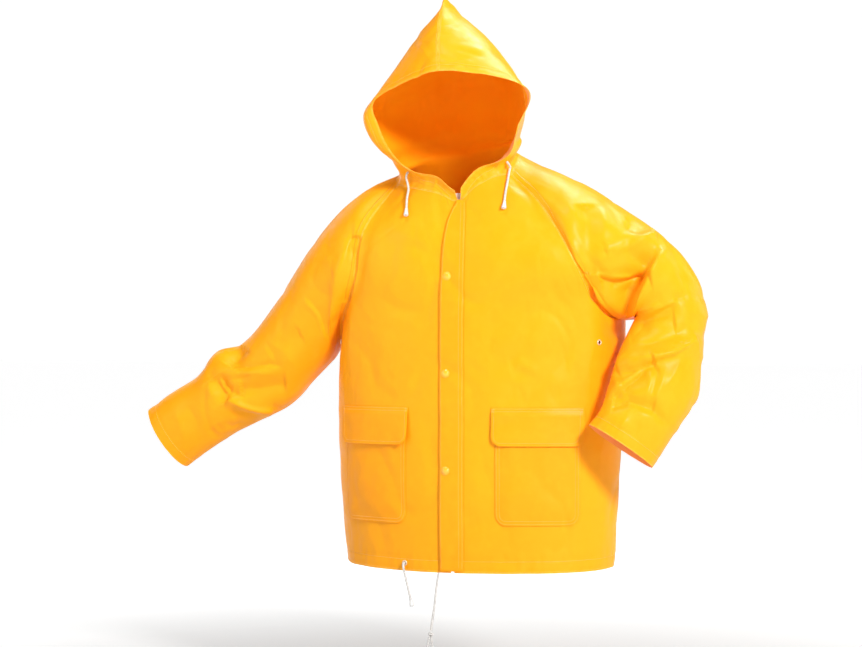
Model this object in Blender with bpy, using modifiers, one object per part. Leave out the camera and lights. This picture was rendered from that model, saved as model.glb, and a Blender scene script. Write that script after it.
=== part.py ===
"""Hooded rain jacket standing as worn, hollow, with no wearer in it.

Metres, +Z up, the front looks along -Y and the wearer's left is +X.
The origin is at the base of the neck, where a wearer's shoulders carry the jacket.
"""
import math

import bmesh
import bpy
import numpy as np
from mathutils import Vector
from mathutils.bvhtree import BVHTree

# ---------------------------------------------------------------- named sizes
WALL = 0.0016            # cloth thickness
SEAM_GAP = 0.00025       # each panel stops this far short of a seam
ZIP_HALF_GAP = 0.0032    # each front stops this far short of the centre front
LEVELS = 1               # smoothing levels of the panels
LAY_GAP = 0.0012         # clear space under a piece laid on a panel
HOOD_BAND = 0.026        # height of the hood's lower band at the neck

# The front drawing: folds are placed where they are seen from the three-quarter front.
DRAW_TURN = math.radians(20.0)
DRAW_UNIT = 0.00185
DRAW_FAR = 5.0
DRAW_SIDE = 0.09065
DRAW_RISE = 0.25622
DRAW_MIDDLE = (431.0, 323.5)

# Panels, in the order of their numbers
PANELS = (
    "front_right",
    "front_left",
    "back",
    "sleeve_right",
    "sleeve_left",
    "hood_right",
    "hood_left",
)
FRONT_R, FRONT_L, BACK, SLEEVE_R, SLEEVE_L, HOOD_R, HOOD_L = range(7)

# Columns of half a body ring: 5 over the front, 4 round the underarm, 4 over the back
FRONT_COLS = 5
UNDER_COLS = 4
BACK_COLS = 4
ANGLES = (0, 14, 28, 41, 53, 63, 76, 90, 104, 118, 134, 149, 165, 180)
RAGLAN_ROWS = 4
NECK_COLS = 3
RING = 2 * RAGLAN_ROWS + UNDER_COLS + NECK_COLS

# Body sections: height, half width right, half width left, front depth, back depth
BODY = (
    (-0.200, 0.268, 0.264, 0.1510, 0.130),
    (-0.300, 0.279, 0.271, 0.1525, 0.132),
    (-0.400, 0.277, 0.270, 0.1535, 0.133),
    (-0.500, 0.274, 0.267, 0.1540, 0.132),
    (-0.600, 0.266, 0.262, 0.1535, 0.130),
    (-0.700, 0.256, 0.255, 0.1520, 0.128),
)
BODY_ROWS = (0.16, 0.36, 0.58, 0.80, 1.0)
# Hem heights: front, side, back
HEM_RIGHT = (-0.7050, -0.6940, -0.7010)
HEM_LEFT = (-0.7050, -0.6990, -0.7010)

# Top of the body rings per column, corner to corner round the underarm: x, y, z
UNDER_LEFT = (
    (0.2398, -0.0950, -0.2064),
    (0.2590, -0.0480, -0.2400),
    (0.2700, 0.0050, -0.2460),
    (0.2630, 0.0560, -0.2380),
    (0.2430, 0.0980, -0.2080),
)
UNDER_RIGHT = (
    (-0.2190, -0.1000, -0.2140),
    (-0.2520, -0.0540, -0.2590),
    (-0.2720, 0.0040, -0.2930),
    (-0.2650, 0.0560, -0.2780),
    (-0.2400, 0.1000, -0.2200),
)
CENTRE_FRONT = (
    (0.0, -0.1520, -0.2350),
    (0.0, -0.1490, -0.1820),
    (0.0, -0.1430, -0.1280),
    (0.0, -0.1330, -0.0780),
    (0.0, -0.1180, -0.0310),
)
CENTRE_BACK = (
    (0.0, 0.1320, -0.2350),
    (-0.004, 0.1310, -0.1650),
    (-0.012, 0.1180, -0.0950),
    (-0.024, 0.0880, -0.0260),
    (-0.033, 0.0480, 0.0460),
)
# Raglan seams from the underarm corner up to the neck
RAGLAN_FRONT_LEFT = (
    (0.2398, -0.0950, -0.2064),
    (0.2290, -0.1160, -0.1680),
    (0.2000, -0.1180, -0.1120),
    (0.1405, -0.0900, -0.0340),
    (0.0850, -0.0750, 0.0140),
)
RAGLAN_FRONT_RIGHT = (
    (-0.2190, -0.1000, -0.2140),
    (-0.1990, -0.1180, -0.1650),
    (-0.1930, -0.1170, -0.1080),
    (-0.1720, -0.0980, -0.0530),
    (-0.1380, -0.0680, 0.0000),
)
RAGLAN_BACK_LEFT = (
    (0.2430, 0.0980, -0.2080),
    (0.2220, 0.1220, -0.1560),
    (0.1880, 0.1210, -0.0940),
    (0.1280, 0.0880, -0.0140),
    (0.0470, 0.0300, 0.0560),
)
RAGLAN_BACK_RIGHT = (
    (-0.2400, 0.1000, -0.2200),
    (-0.2260, 0.1220, -0.1600),
    (-0.1980, 0.1200, -0.0960),
    (-0.1600, 0.0900, -0.0260),
    (-0.1130, 0.0310, 0.0400),
)
# Neck seam, front columns then side columns
NECK_FRONT_LEFT = (
    (0.0, -0.1180, -0.0310),
    (0.0200, -0.1175, -0.0160),
    (0.0430, -0.1135, -0.0010),
    (0.0620, -0.1060, 0.0100),
    (0.0760, -0.0930, 0.0140),
    (0.0850, -0.0750, 0.0140),
)
NECK_FRONT_RIGHT = (
    (0.0, -0.1180, -0.0310),
    (-0.0290, -0.1175, -0.0220),
    (-0.0570, -0.1130, -0.0150),
    (-0.0850, -0.1030, -0.0090),
    (-0.1120, -0.0880, -0.0040),
    (-0.1380, -0.0680, 0.0000),
)
NECK_SIDE_LEFT = (
    (0.0850, -0.0750, 0.0140),
    (0.0870, -0.0440, 0.0390),
    (0.0750, -0.0060, 0.0550),
    (0.0470, 0.0300, 0.0560),
)
NECK_SIDE_RIGHT = (
    (-0.1380, -0.0680, 0.0000),
    (-0.1430, -0.0370, 0.0200),
    (-0.1350, 0.0000, 0.0330),
    (-0.1130, 0.0310, 0.0400),
)
# Upper edge of the hood's lower band over the front columns
BAND_FRONT_LEFT = (
    (0.0020, -0.1215, -0.0160),
    (0.0150, -0.1225, 0.0020),
    (0.0370, -0.1220, 0.0230),
    (0.0620, -0.1170, 0.0310),
    (0.0800, -0.1040, 0.0390),
    (0.0900, -0.0840, 0.0430),
)
BAND_FRONT_RIGHT = (
    (-0.0050, -0.1215, -0.0160),
    (-0.0200, -0.1225, -0.0070),
    (-0.0430, -0.1215, 0.0100),
    (-0.0780, -0.1150, 0.0170),
    (-0.1080, -0.1020, 0.0230),
    (-0.1360, -0.0820, 0.0310),
)
# Sleeve rings from the shoulder to the cuff: outer edge x y z, inner edge x y z, front, back
SLEEVE_LEFT = (
    (0.177, -0.012, 0.010, 0.272, 0.004, -0.247, 0.122, 0.120),
    (0.251, -0.012, -0.035, 0.283, 0.000, -0.249, 0.110, 0.108),
    (0.326, -0.005, -0.082, 0.296, -0.006, -0.248, 0.094, 0.098),
    (0.386, 0.010, -0.138, 0.305, -0.018, -0.246, 0.083, 0.090),
    (0.424, 0.022, -0.214, 0.301, -0.032, -0.260, 0.074, 0.080),
    (0.426, 0.006, -0.285, 0.290, -0.058, -0.297, 0.066, 0.068),
    (0.425, -0.018, -0.345, 0.283, -0.085, -0.332, 0.058, 0.058),
    (0.421, -0.031, -0.395, 0.2745, -0.112, -0.386, 0.054, 0.050),
    (0.396, -0.053, -0.436, 0.266, -0.122, -0.412, 0.050, 0.046),
    (0.3514, -0.085, -0.512, 0.2483, -0.128, -0.436, 0.044, 0.040),
)
SLEEVE_RIGHT = (
    (-0.190, -0.012, 0.007, -0.281, 0.004, -0.300, 0.124, 0.120),
    (-0.254, -0.012, -0.031, -0.284, 0.000, -0.307, 0.112, 0.110),
    (-0.315, -0.012, -0.097, -0.291, -0.006, -0.322, 0.098, 0.100),
    (-0.364, -0.012, -0.167, -0.308, -0.008, -0.340, 0.087, 0.090),
    (-0.415, -0.012, -0.235, -0.338, -0.008, -0.371, 0.078, 0.080),
    (-0.471, -0.012, -0.296, -0.376, -0.010, -0.409, 0.070, 0.071),
    (-0.525, -0.012, -0.308, -0.432, -0.010, -0.436, 0.064, 0.063),
    (-0.560, -0.010, -0.350, -0.480, -0.010, -0.460, 0.058, 0.056),
    (-0.605, -0.010, -0.379, -0.530, -0.010, -0.489, 0.052, 0.050),
    (-0.668, -0.010, -0.421, -0.592, -0.010, -0.530, 0.046, 0.044),
)
# Hood lines, one row per rib from the band up to the top seam: x, y, z
MOUTH_LEFT = (
    (0.0961, -0.125, 0.0425),
    (0.1142, -0.140, 0.0717),
    (0.1300, -0.150, 0.1117),
    (0.1460, -0.160, 0.1600),
    (0.0670, -0.204, 0.1868),
    (-0.0061, -0.212, 0.1925),
)
MOUTH_RIGHT = (
    (-0.1071, -0.125, 0.0341),
    (-0.1326, -0.140, 0.0719),
    (-0.1472, -0.150, 0.1134),
    (-0.1443, -0.160, 0.1507),
    (-0.0567, -0.203, 0.1816),
    (-0.0061, -0.212, 0.1925),
)
SIDE_LEFT = (
    (0.0930, -0.075, 0.0720),
    (0.1075, -0.088, 0.0950),
    (0.1200, -0.097, 0.1280),
    (0.1180, -0.110, 0.1720),
    (0.0410, -0.124, 0.2560),
    (-0.0190, -0.178, 0.2440),
)
SIDE_RIGHT = (
    (-0.1480, -0.083, 0.0580),
    (-0.1730, -0.097, 0.0880),
    (-0.1820, -0.104, 0.1286),
    (-0.1520, -0.104, 0.1700),
    (-0.0850, -0.120, 0.2560),
    (-0.0190, -0.178, 0.2440),
)
REAR_LEFT = (
    (0.0600, 0.026, 0.0980),
    (0.0610, 0.040, 0.1260),
    (0.0570, 0.045, 0.1650),
    (0.0420, 0.034, 0.2080),
    (-0.0030, -0.045, 0.2960),
    (-0.0320, -0.126, 0.3020),
)
REAR_RIGHT = (
    (-0.1220, 0.026, 0.0960),
    (-0.1290, 0.040, 0.1280),
    (-0.1270, 0.045, 0.1680),
    (-0.1100, 0.034, 0.2110),
    (-0.0740, -0.045, 0.2950),
    (-0.0320, -0.126, 0.3020),
)
HOOD_BACK = (
    (-0.0330, 0.062, 0.1000),
    (-0.0330, 0.078, 0.1360),
    (-0.0330, 0.085, 0.1800),
    (-0.0340, 0.073, 0.2260),
    (-0.0345, -0.010, 0.3080),
    (-0.0351, -0.092, 0.3370),
)
MOUTH_COLUMN = 3
RIB_KNOTS = (0.0, 0.3, 0.7, 1.0)

# Folds seen from the front: start across, down, end across, down, half width (drawing
# units), depth in millimetres (negative stands out), panel
FOLDS = (
    (586, 205, 591, 275, 10, 8.0, SLEEVE_L),
    (606, 249, 655, 235, 9, -6.0, SLEEVE_L),
    (628, 222, 652, 229, 8, 5.0, SLEEVE_L),
    (600, 284, 650, 274, 11, 9.0, SLEEVE_L),
    (628, 330, 676, 322, 9, 7.0, SLEEVE_L),
    (618, 380, 655, 362, 10, 8.0, SLEEVE_L),
    (616, 362, 698, 344, 9, -5.0, SLEEVE_L),
    (612, 404, 655, 408, 8, 5.0, SLEEVE_L),
    (214, 378, 228, 400, 9, 8.0, SLEEVE_R),
    (228, 398, 272, 410, 8, -5.0, SLEEVE_R),
    (243, 347, 230, 366, 8, 7.0, SLEEVE_R),
    (240, 390, 286, 384, 10, 6.0, SLEEVE_R),
    (268, 352, 300, 334, 10, 3.0, SLEEVE_R),
    (356, 236, 352, 304, 9, 6.0, SLEEVE_R),
    (510, 366, 566, 352, 11, 2.0, FRONT_L),
)
# Folds of the back, seen from behind: start x, z, end x, z, half width, depth (millimetres)
BACK_FOLDS = (
    (-0.115, -0.060, -0.145, -0.250, 26, 5.0),
    (0.120, -0.045, 0.150, -0.235, 24, 4.0),
    (-0.040, -0.330, -0.052, -0.640, 28, -4.0),
    (0.064, -0.390, 0.058, -0.660, 30, 4.0),
    (-0.160, -0.420, -0.150, -0.660, 26, 3.0),
    (0.180, -0.300, 0.172, -0.600, 26, -4.0),
    (-0.330, -0.140, -0.300, -0.260, 22, 4.0),
    (-0.420, -0.300, -0.400, -0.390, 22, 5.0),
    (0.330, -0.120, 0.310, -0.230, 22, 4.0),
    (0.350, -0.300, 0.420, -0.320, 20, 5.0),
)

# Pieces on the front: distance from the centre front along the cloth and height
POCKET_INNER_LEFT = 0.0725
POCKET_INNER_RIGHT = 0.0870
POCKET_WIDTH = 0.168
BAG_INSET = 0.006
BAG_TOP = -0.4260
BAG_BOTTOM = -0.6190
FLAP_TOP = -0.4070
FLAP_BOTTOM = -0.4760
FLAP_CORNER = 0.018
BAG_CORNER = 0.020
LAID_WALL = 0.0014
FLAP_LIFT = 0.0035
# Storm flap: height, free edge x, stitched edge x
STORM_FLAP = (
    (-0.0330, -0.0005, 0.0140),
    (-0.0490, -0.0095, 0.0160),
    (-0.0680, -0.0160, 0.0175),
    (-0.0940, -0.0198, 0.0190),
    (-0.1300, -0.0225, 0.0205),
    (-0.1900, -0.0238, 0.0210),
    (-0.7020, -0.0238, 0.0210),
)
STORM_ROWS = 24
STORM_COLS = 4
SNAP_HEIGHTS = (-0.1712, -0.3462, -0.5213)
SNAP_X = -0.0120
SNAP_RADIUS = 0.0080
SNAP_HEIGHT = 0.0036
ZIP_HALF_TAPE = 0.0140
ZIP_COIL = 0.0026
ZIP_ROWS = (-0.0200, -0.0280, -0.0360, -0.0450, -0.0570, -0.0700, -0.0850, -0.1050, -0.1300, -0.1600, -0.2000)
ZIP_SHOWS = -0.0360
ZIP_BOTTOM = -0.6930

# Cords of the hood: across, down on the front drawing, clear space over the cloth
HOOD_CORD_D = 0.0042
HEM_CORD_D = 0.0044
HOOD_CORD_RIGHT = (
    (408.3, 172.0, 0.0006),
    (408.3, 172.3, 0.0045),
    (408.9, 175.6, 0.0078),
    (409.9, 182.0, 0.0072),
    (410.2, 190.0, 0.0056),
    (408.6, 199.0, 0.0050),
    (407.9, 210.5, 0.0058),
)
HOOD_CORD_LEFT = (
    (506.7, 161.5, 0.0006),
    (506.7, 161.8, 0.0045),
    (506.8, 165.2, 0.0078),
    (506.9, 173.0, 0.0072),
    (506.5, 184.0, 0.0056),
    (505.6, 194.0, 0.0050),
    (504.9, 202.7, 0.0058),
)
# Cord at the hem's eyelet, from its exit: aside, out from the cloth, up
HEM_CORD_RIGHT = (
    (0.0000, 0.0000, 0.0000),
    (0.0000, 0.0042, -0.0003),
    (0.0008, 0.0066, -0.0060),
    (0.0028, 0.0056, -0.0180),
    (0.0076, 0.0044, -0.0400),
    (0.0132, 0.0038, -0.0640),
)
# Cord at the centre front, from its exit: x, y, z
HEM_CORD_LEFT = (
    (0.0000, 0.0000, 0.0000),
    (-0.0020, -0.0002, -0.0100),
    (-0.0052, 0.0000, -0.0320),
    (-0.0082, 0.0000, -0.0600),
    (-0.0120, -0.0006, -0.0850),
    (-0.0144, -0.0010, -0.1040),
)
HEM_EXIT_RIGHT = (-0.0955, -0.6900)
HEM_EXIT_LEFT = (-0.0270, -0.7056)
TAIL_D = 0.0036
TAIL_A = (
    (0.0000, 0.0000, 0.0000),
    (-0.0010, -0.0004, -0.0080),
    (-0.0040, -0.0010, -0.0220),
)
TAIL_B = (
    (0.0000, 0.0000, 0.0000),
    (0.0008, 0.0004, -0.0090),
    (0.0026, 0.0012, -0.0250),
)
KNOT = ((0.0, 0.0), (0.0034, 0.0), (0.0052, 0.003), (0.0044, 0.007), (0.0054, 0.011), (0.0042, 0.015), (0.0, 0.015))
TIP_RADIUS = 0.0044
TIP_LENGTH = 0.0150
EYELET_OUTER = 0.0052
EYELET_INNER = 0.0029

COLOURS = {
    "cloth": (0.98, 0.62, 0.03, 1.0),
    "cloth_pale": (1.0, 0.72, 0.08, 1.0),
    "tape": (0.90, 0.86, 0.78, 1.0),
    "cord": (0.93, 0.92, 0.90, 1.0),
    "tip": (0.90, 0.90, 0.89, 1.0),
    "snap": (0.95, 0.66, 0.05, 1.0),
    "ring": (0.90, 0.72, 0.52, 1.0),
}
ROUGHNESS = {
    "cloth": 0.45,
    "cloth_pale": 0.45,
    "tape": 0.7,
    "cord": 0.8,
    "tip": 0.35,
    "snap": 0.25,
    "ring": 0.3,
}


# ---------------------------------------------------------------- scene helpers
def fresh_collections():
    """Empty the scene and make the collections for the jacket and for helpers."""
    for ob in list(bpy.data.objects):
        bpy.data.objects.remove(ob, do_unlink=True)
    made = []
    for name in ("raincoat", "cutters"):
        coll = bpy.data.collections.new(name)
        bpy.context.scene.collection.children.link(coll)
        made.append(coll)
    return made


def paint(ob, slot):
    """Give the object its own Principled material."""
    mat = bpy.data.materials.new(ob.name + "_" + slot)
    mat.use_nodes = True
    shader = mat.node_tree.nodes["Principled BSDF"]
    shader.inputs["Base Color"].default_value = COLOURS[slot]
    shader.inputs["Roughness"].default_value = ROUGHNESS[slot]
    ob.data.materials.clear()
    ob.data.materials.append(mat)


def solid_from(name, points, faces, slot, coll):
    """Make one closed body with outward faces from points and faces."""
    mesh = bpy.data.meshes.new(name)
    mesh.from_pydata([tuple(p) for p in points], [], faces)
    bm = bmesh.new()
    bm.from_mesh(mesh)
    bmesh.ops.remove_doubles(bm, verts=bm.verts, dist=1e-6)
    bmesh.ops.recalc_face_normals(bm, faces=bm.faces)
    bm.to_mesh(mesh)
    bm.free()
    ob = bpy.data.objects.new(name, mesh)
    coll.objects.link(ob)
    paint(ob, slot)
    return ob


# ---------------------------------------------------------------- curves and grids
def table_at(rows, key):
    """Read a table whose first column rises or falls steadily."""
    data = np.array(rows, dtype=float)
    if data[0, 0] > data[-1, 0]:
        data = data[::-1]
    return [float(np.interp(key, data[:, 0], data[:, c])) for c in range(1, data.shape[1])]


def lagrange(knots, values, t):
    """Smooth curve through a few points."""
    total = np.zeros(3)
    for i, a in enumerate(knots):
        weight = 1.0
        for j, b in enumerate(knots):
            if j != i:
                weight *= (t - b) / (a - b)
        total += weight * np.array(values[i], dtype=float)
    return total


def spline(points, per_span):
    """Catmull-Rom line through the points, with per_span steps a span."""
    pts = [np.array(p, dtype=float) for p in points]
    pts = [2 * pts[0] - pts[1]] + pts + [2 * pts[-1] - pts[-2]]
    line = []
    for i in range(1, len(pts) - 2):
        for k in range(per_span):
            t = k / per_span
            a, b, c, d = pts[i - 1], pts[i], pts[i + 1], pts[i + 2]
            line.append(
                0.5
                * (
                    2 * b
                    + (c - a) * t
                    + (2 * a - 5 * b + 4 * c - d) * t * t
                    + (3 * b - a - 3 * c + d) * t ** 3
                )
            )
    line.append(pts[-2])
    return line


def coons(bottom, top, left, right):
    """Grid [row][column] filled from its four border lines."""
    rows = len(left)
    cols = len(bottom)
    grid = []
    for j in range(rows):
        v = j / (rows - 1)
        line = []
        for i in range(cols):
            u = i / (cols - 1)
            across = (1 - u) * left[j] + u * right[j]
            along = (1 - v) * bottom[i] + v * top[i]
            corners = (
                (1 - u) * (1 - v) * bottom[0]
                + u * (1 - v) * bottom[-1]
                + (1 - u) * v * top[0]
                + u * v * top[-1]
            )
            line.append(across + along - corners)
        grid.append(line)
    return grid


def body_point(side, angle, z):
    """Point on the body section at an angle from the centre front."""
    right, left, front, back = table_at(BODY, z)
    half = left if side > 0 else right
    a = math.radians(angle)
    x = side * half * math.sin(a)
    y = -front * math.cos(a) if angle <= 90 else -back * math.cos(a)
    return np.array((x, y, z))


def hem_height(side, angle):
    """Height of the hem at an angle from the centre front."""
    front, flank, back = HEM_LEFT if side > 0 else HEM_RIGHT
    if angle <= 90:
        return front + (flank - front) * (angle / 90.0) ** 2
    return flank + (back - flank) * ((angle - 90) / 90.0)


# ---------------------------------------------------------------- the cage
class Cage:
    """Shared points and panel-numbered quads."""

    def __init__(self):
        self.points = []
        self.faces = []
        self.panel = []

    def grid(self, rows, panel_of, flip=False):
        """Add a grid of points and its quads, panel_of(row, column) names the panel."""
        start = len(self.points)
        cols = len(rows[0])
        for row in rows:
            self.points.extend(row)
        for j in range(len(rows) - 1):
            for i in range(cols - 1):
                a = start + j * cols + i
                quad = (a, a + 1, a + cols + 1, a + cols)
                self.faces.append(quad[::-1] if flip else quad)
                self.panel.append(panel_of(j, i))


def side_tables(side):
    """The tables of one side of the jacket."""
    if side > 0:
        return {
            "under": UNDER_LEFT,
            "rf": RAGLAN_FRONT_LEFT,
            "rb": RAGLAN_BACK_LEFT,
            "nf": NECK_FRONT_LEFT,
            "ns": NECK_SIDE_LEFT,
            "band": BAND_FRONT_LEFT,
            "sleeve": SLEEVE_LEFT,
            "mouth": MOUTH_LEFT,
            "hside": SIDE_LEFT,
            "rear": REAR_LEFT,
            "front": FRONT_L,
            "arm": SLEEVE_L,
            "hood": HOOD_L,
        }
    return {
        "under": UNDER_RIGHT,
        "rf": RAGLAN_FRONT_RIGHT,
        "rb": RAGLAN_BACK_RIGHT,
        "nf": NECK_FRONT_RIGHT,
        "ns": NECK_SIDE_RIGHT,
        "band": BAND_FRONT_RIGHT,
        "sleeve": SLEEVE_RIGHT,
        "mouth": MOUTH_RIGHT,
        "hside": SIDE_RIGHT,
        "rear": REAR_RIGHT,
        "front": FRONT_R,
        "arm": SLEEVE_R,
        "hood": HOOD_R,
    }


def arrays(rows):
    """Table rows as points."""
    return [np.array(r, dtype=float) for r in rows]


def neck_back(side, top):
    """Back neck line from the raglan seam to the centre back."""
    a = np.array(top, dtype=float)
    b = np.array(CENTRE_BACK[-1], dtype=float)
    line = []
    for i in range(BACK_COLS + 1):
        t = i / BACK_COLS
        p = a + (b - a) * t
        p[1] = a[1] + (b[1] - a[1]) * math.sin(t * math.pi / 2)
        line.append(p)
    return line


def top_ring(side, tab):
    """Upper row of the body rings, from the centre front round to the centre back."""
    line = []
    cf = np.array(CENTRE_FRONT[0])
    cb = np.array(CENTRE_BACK[0])
    corner = np.array(tab["under"][0])
    for i in range(FRONT_COLS):
        t = i / FRONT_COLS
        z = cf[2] + (corner[2] - cf[2]) * t ** 3
        p = body_point(side, ANGLES[i], z)
        blend = t ** 2
        own = body_point(side, ANGLES[FRONT_COLS], corner[2])
        line.append(p + (corner - own) * blend)
    line.extend(arrays(tab["under"]))
    corner = np.array(tab["under"][-1])
    first = FRONT_COLS + UNDER_COLS
    own = body_point(side, ANGLES[first], corner[2])
    for i in range(1, BACK_COLS + 1):
        t = 1 - i / BACK_COLS
        z = cb[2] + (corner[2] - cb[2]) * t ** 3
        p = body_point(side, ANGLES[first + i], z)
        line.append(p + (corner - own) * t ** 2)
    line[0] = cf
    line[-1] = cb
    return line


def add_body(cage, side, tab):
    """Lower body rings, upper front and upper back of one side."""
    ring = top_ring(side, tab)
    rows = [ring]
    for part in BODY_ROWS:
        line = []
        for i, angle in enumerate(ANGLES):
            z = ring[i][2] + (hem_height(side, angle) - ring[i][2]) * part
            p = body_point(side, angle, z)
            own = body_point(side, angle, ring[i][2])
            line.append(p + (ring[i] - own) * (1 - part) ** 3)
        rows.append(line)
    side_col = FRONT_COLS + UNDER_COLS // 2

    def panel_of(j, i):
        return tab["front"] if i < side_col else BACK

    cage.grid(rows, panel_of, flip=side > 0)
    front = coons(ring[: FRONT_COLS + 1], arrays(tab["nf"]), arrays(CENTRE_FRONT), arrays(tab["rf"]))
    cage.grid(front, lambda j, i: tab["front"], flip=side < 0)
    nb = neck_back(side, tab["rb"][-1])
    first = FRONT_COLS + UNDER_COLS
    back = coons(ring[first:], nb, arrays(tab["rb"]), arrays(CENTRE_BACK))
    cage.grid(back, lambda j, i: BACK, flip=side < 0)
    return ring, nb


def sleeve_ring(row, before, after, side):
    """One sleeve section from its outer and inner edge points and its two depths."""
    top = np.array(row[0:3])
    low = np.array(row[3:6])
    mid = (top + low) / 2
    half = (top - low) / 2
    along = after - before
    along -= half * np.dot(along, half) / np.dot(half, half)
    depth = np.cross(along, half) * side
    depth /= np.linalg.norm(depth)
    if np.dot(depth, np.array((0.0, -1.0, 0.0))) < 0:
        depth = -depth
    line = []
    for m in range(RING + 1):
        a = 2 * math.pi * (m % RING) / RING
        reach = row[6] if math.sin(a) > 0 else row[7]
        line.append(mid - half * math.cos(a) + depth * reach * math.sin(a))
    return line


def add_sleeve(cage, side, tab):
    """Loft from the armhole to the cuff."""
    under = arrays(tab["under"])
    half = UNDER_COLS // 2
    loop = [under[half - k] for k in range(half)]
    loop += arrays(tab["rf"])
    loop += arrays(tab["ns"])[1:-1]
    loop += arrays(tab["rb"])[::-1]
    loop += [under[-1 - k] for k in range(1, half)]
    loop.append(loop[0])
    rows = [loop]
    centres = [np.mean(loop[:-1], axis=0)]
    for row in tab["sleeve"]:
        centres.append((np.array(row[0:3]) + np.array(row[3:6])) / 2)
    for k, row in enumerate(tab["sleeve"]):
        after = centres[min(k + 2, len(centres) - 1)]
        rows.append(sleeve_ring(row, centres[k], after, side))
    cage.grid(rows, lambda j, i: tab["arm"], flip=side > 0)


def add_hood(cage, side, tab, nb):
    """Lower band along the neck seam and the ribs above it."""
    neck = arrays(tab["nf"]) + arrays(tab["ns"])[1:] + nb[1:]
    band = arrays(tab["band"])
    for p in neck[FRONT_COLS + 1:]:
        out = p - np.array((-0.02, -0.03, p[2]))
        out[2] = 0
        out /= np.linalg.norm(out)
        band.append(p + out * 0.006 + np.array((0, 0, HOOD_BAND)))
    cage.grid([neck, band], lambda j, i: tab["hood"], flip=side < 0)
    rows = [band[MOUTH_COLUMN:]]
    cols = len(rows[0])
    for j in range(len(tab["mouth"])):
        knots = (tab["mouth"][j], tab["hside"][j], tab["rear"][j], HOOD_BACK[j])
        rows.append([lagrange(RIB_KNOTS, knots, i / (cols - 1)) for i in range(cols)])
    cage.grid(rows, lambda j, i: tab["hood"], flip=side < 0)


def build_cage():
    """The whole jacket as one open quad cage with shared borders."""
    cage = Cage()
    for side in (-1, 1):
        tab = side_tables(side)
        ring, nb = add_body(cage, side, tab)
        add_sleeve(cage, side, tab)
        add_hood(cage, side, tab, nb)
    return weld(cage)


def weld(cage):
    """Join points that share a place."""
    index = {}
    points = []
    where = []
    for p in cage.points:
        key = tuple(int(round(c * 20000)) for c in p)
        found = None
        for dx in (-1, 0, 1):
            for dy in (-1, 0, 1):
                for dz in (-1, 0, 1):
                    found = index.get((key[0] + dx, key[1] + dy, key[2] + dz), found)
        if found is None:
            found = len(points)
            index[key] = found
            points.append(p)
        where.append(found)
    faces = [tuple(where[i] for i in f) for f in cage.faces]
    return np.array(points), faces, cage.panel


def smooth(points, faces, panel, levels):
    """Catmull-Clark surface of the cage: points, normals, quads, panel numbers."""
    mesh = bpy.data.meshes.new("cage")
    mesh.from_pydata([tuple(p) for p in points], [], faces)
    mesh.polygons.foreach_set("material_index", panel)
    ob = bpy.data.objects.new("cage", mesh)
    bpy.context.scene.collection.objects.link(ob)
    mod = ob.modifiers.new("round", "SUBSURF")
    mod.levels = levels
    mod.render_levels = levels
    mod.boundary_smooth = "PRESERVE_CORNERS"
    view = bpy.context.evaluated_depsgraph_get()
    made = ob.evaluated_get(view).to_mesh()
    co = np.empty(len(made.vertices) * 3)
    made.vertices.foreach_get("co", co)
    quads = [tuple(f.vertices) for f in made.polygons]
    ids = [f.material_index for f in made.polygons]
    ob.evaluated_get(view).to_mesh_clear()
    bpy.data.objects.remove(ob, do_unlink=True)
    bpy.data.meshes.remove(mesh)
    return co.reshape(-1, 3), quads, ids


def through_points(points, faces, panel):
    """Move the cage so that its smooth surface passes through the given points."""
    cage = points.copy()
    for _ in range(4):
        made, _quads, _ids = smooth(cage, faces, panel, 1)
        cage += 0.9 * (points - made[: len(points)])
    return cage


def vertex_normals(points, quads):
    """Area-weighted normals of the whole surface."""
    normals = np.zeros_like(points)
    q = np.array(quads)
    face = np.cross(points[q[:, 2]] - points[q[:, 0]], points[q[:, 3]] - points[q[:, 1]])
    for k in range(4):
        np.add.at(normals, q[:, k], face)
    size = np.linalg.norm(normals, axis=1)
    return normals / np.maximum(size, 1e-12)[:, None]


# ---------------------------------------------------------------- folds
def drawn(points):
    """Where points fall on the front drawing, in drawing units."""
    across = points[:, 0] * math.cos(DRAW_TURN) + points[:, 1] * math.sin(DRAW_TURN)
    near = points[:, 0] * math.sin(DRAW_TURN) - points[:, 1] * math.cos(DRAW_TURN)
    grow = DRAW_FAR / (DRAW_FAR - near) / DRAW_UNIT
    u = DRAW_MIDDLE[0] + (across + DRAW_SIDE) * grow
    v = DRAW_MIDDLE[1] - (points[:, 2] + DRAW_RISE) * grow
    return np.stack((u, v), axis=1)


def soft_line(places, a, b, width):
    """Soft weight of places near the line from a to b."""
    a = np.array(a, dtype=float)
    b = np.array(b, dtype=float)
    run = b - a
    t = np.clip(((places - a) @ run) / np.dot(run, run), 0, 1)
    gap = np.linalg.norm(places - (a + t[:, None] * run), axis=1)
    return np.exp(-((gap / width) ** 2))


def fold_shift(points, normals, member):
    """Distance each point moves along its normal for the folds."""
    shift = np.zeros(len(points))
    toward = np.array((math.sin(DRAW_TURN), -math.cos(DRAW_TURN), 0.0))
    facing = np.clip((normals @ toward - 0.05) / 0.4, 0, 1)
    places = drawn(points)
    for a0, a1, b0, b1, width, depth, panel in FOLDS:
        weight = soft_line(places, (a0, a1), (b0, b1), width)
        shift -= depth * 0.001 * weight * facing * member[:, panel]
    behind = np.clip((normals[:, 1] - 0.05) / 0.4, 0, 1)
    places = points[:, [0, 2]]
    for a0, a1, b0, b1, width, depth in BACK_FOLDS:
        weight = soft_line(places, (a0, a1), (b0, b1), width * 0.001)
        shift -= depth * 0.001 * weight * behind
    return shift


def membership(count, quads, ids):
    """Share of each panel round every point."""
    member = np.zeros((count, len(PANELS)))
    for quad, pid in zip(quads, ids):
        for v in quad:
            member[v, pid] += 1
    return member / np.maximum(member.sum(axis=1), 1)[:, None]


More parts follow.
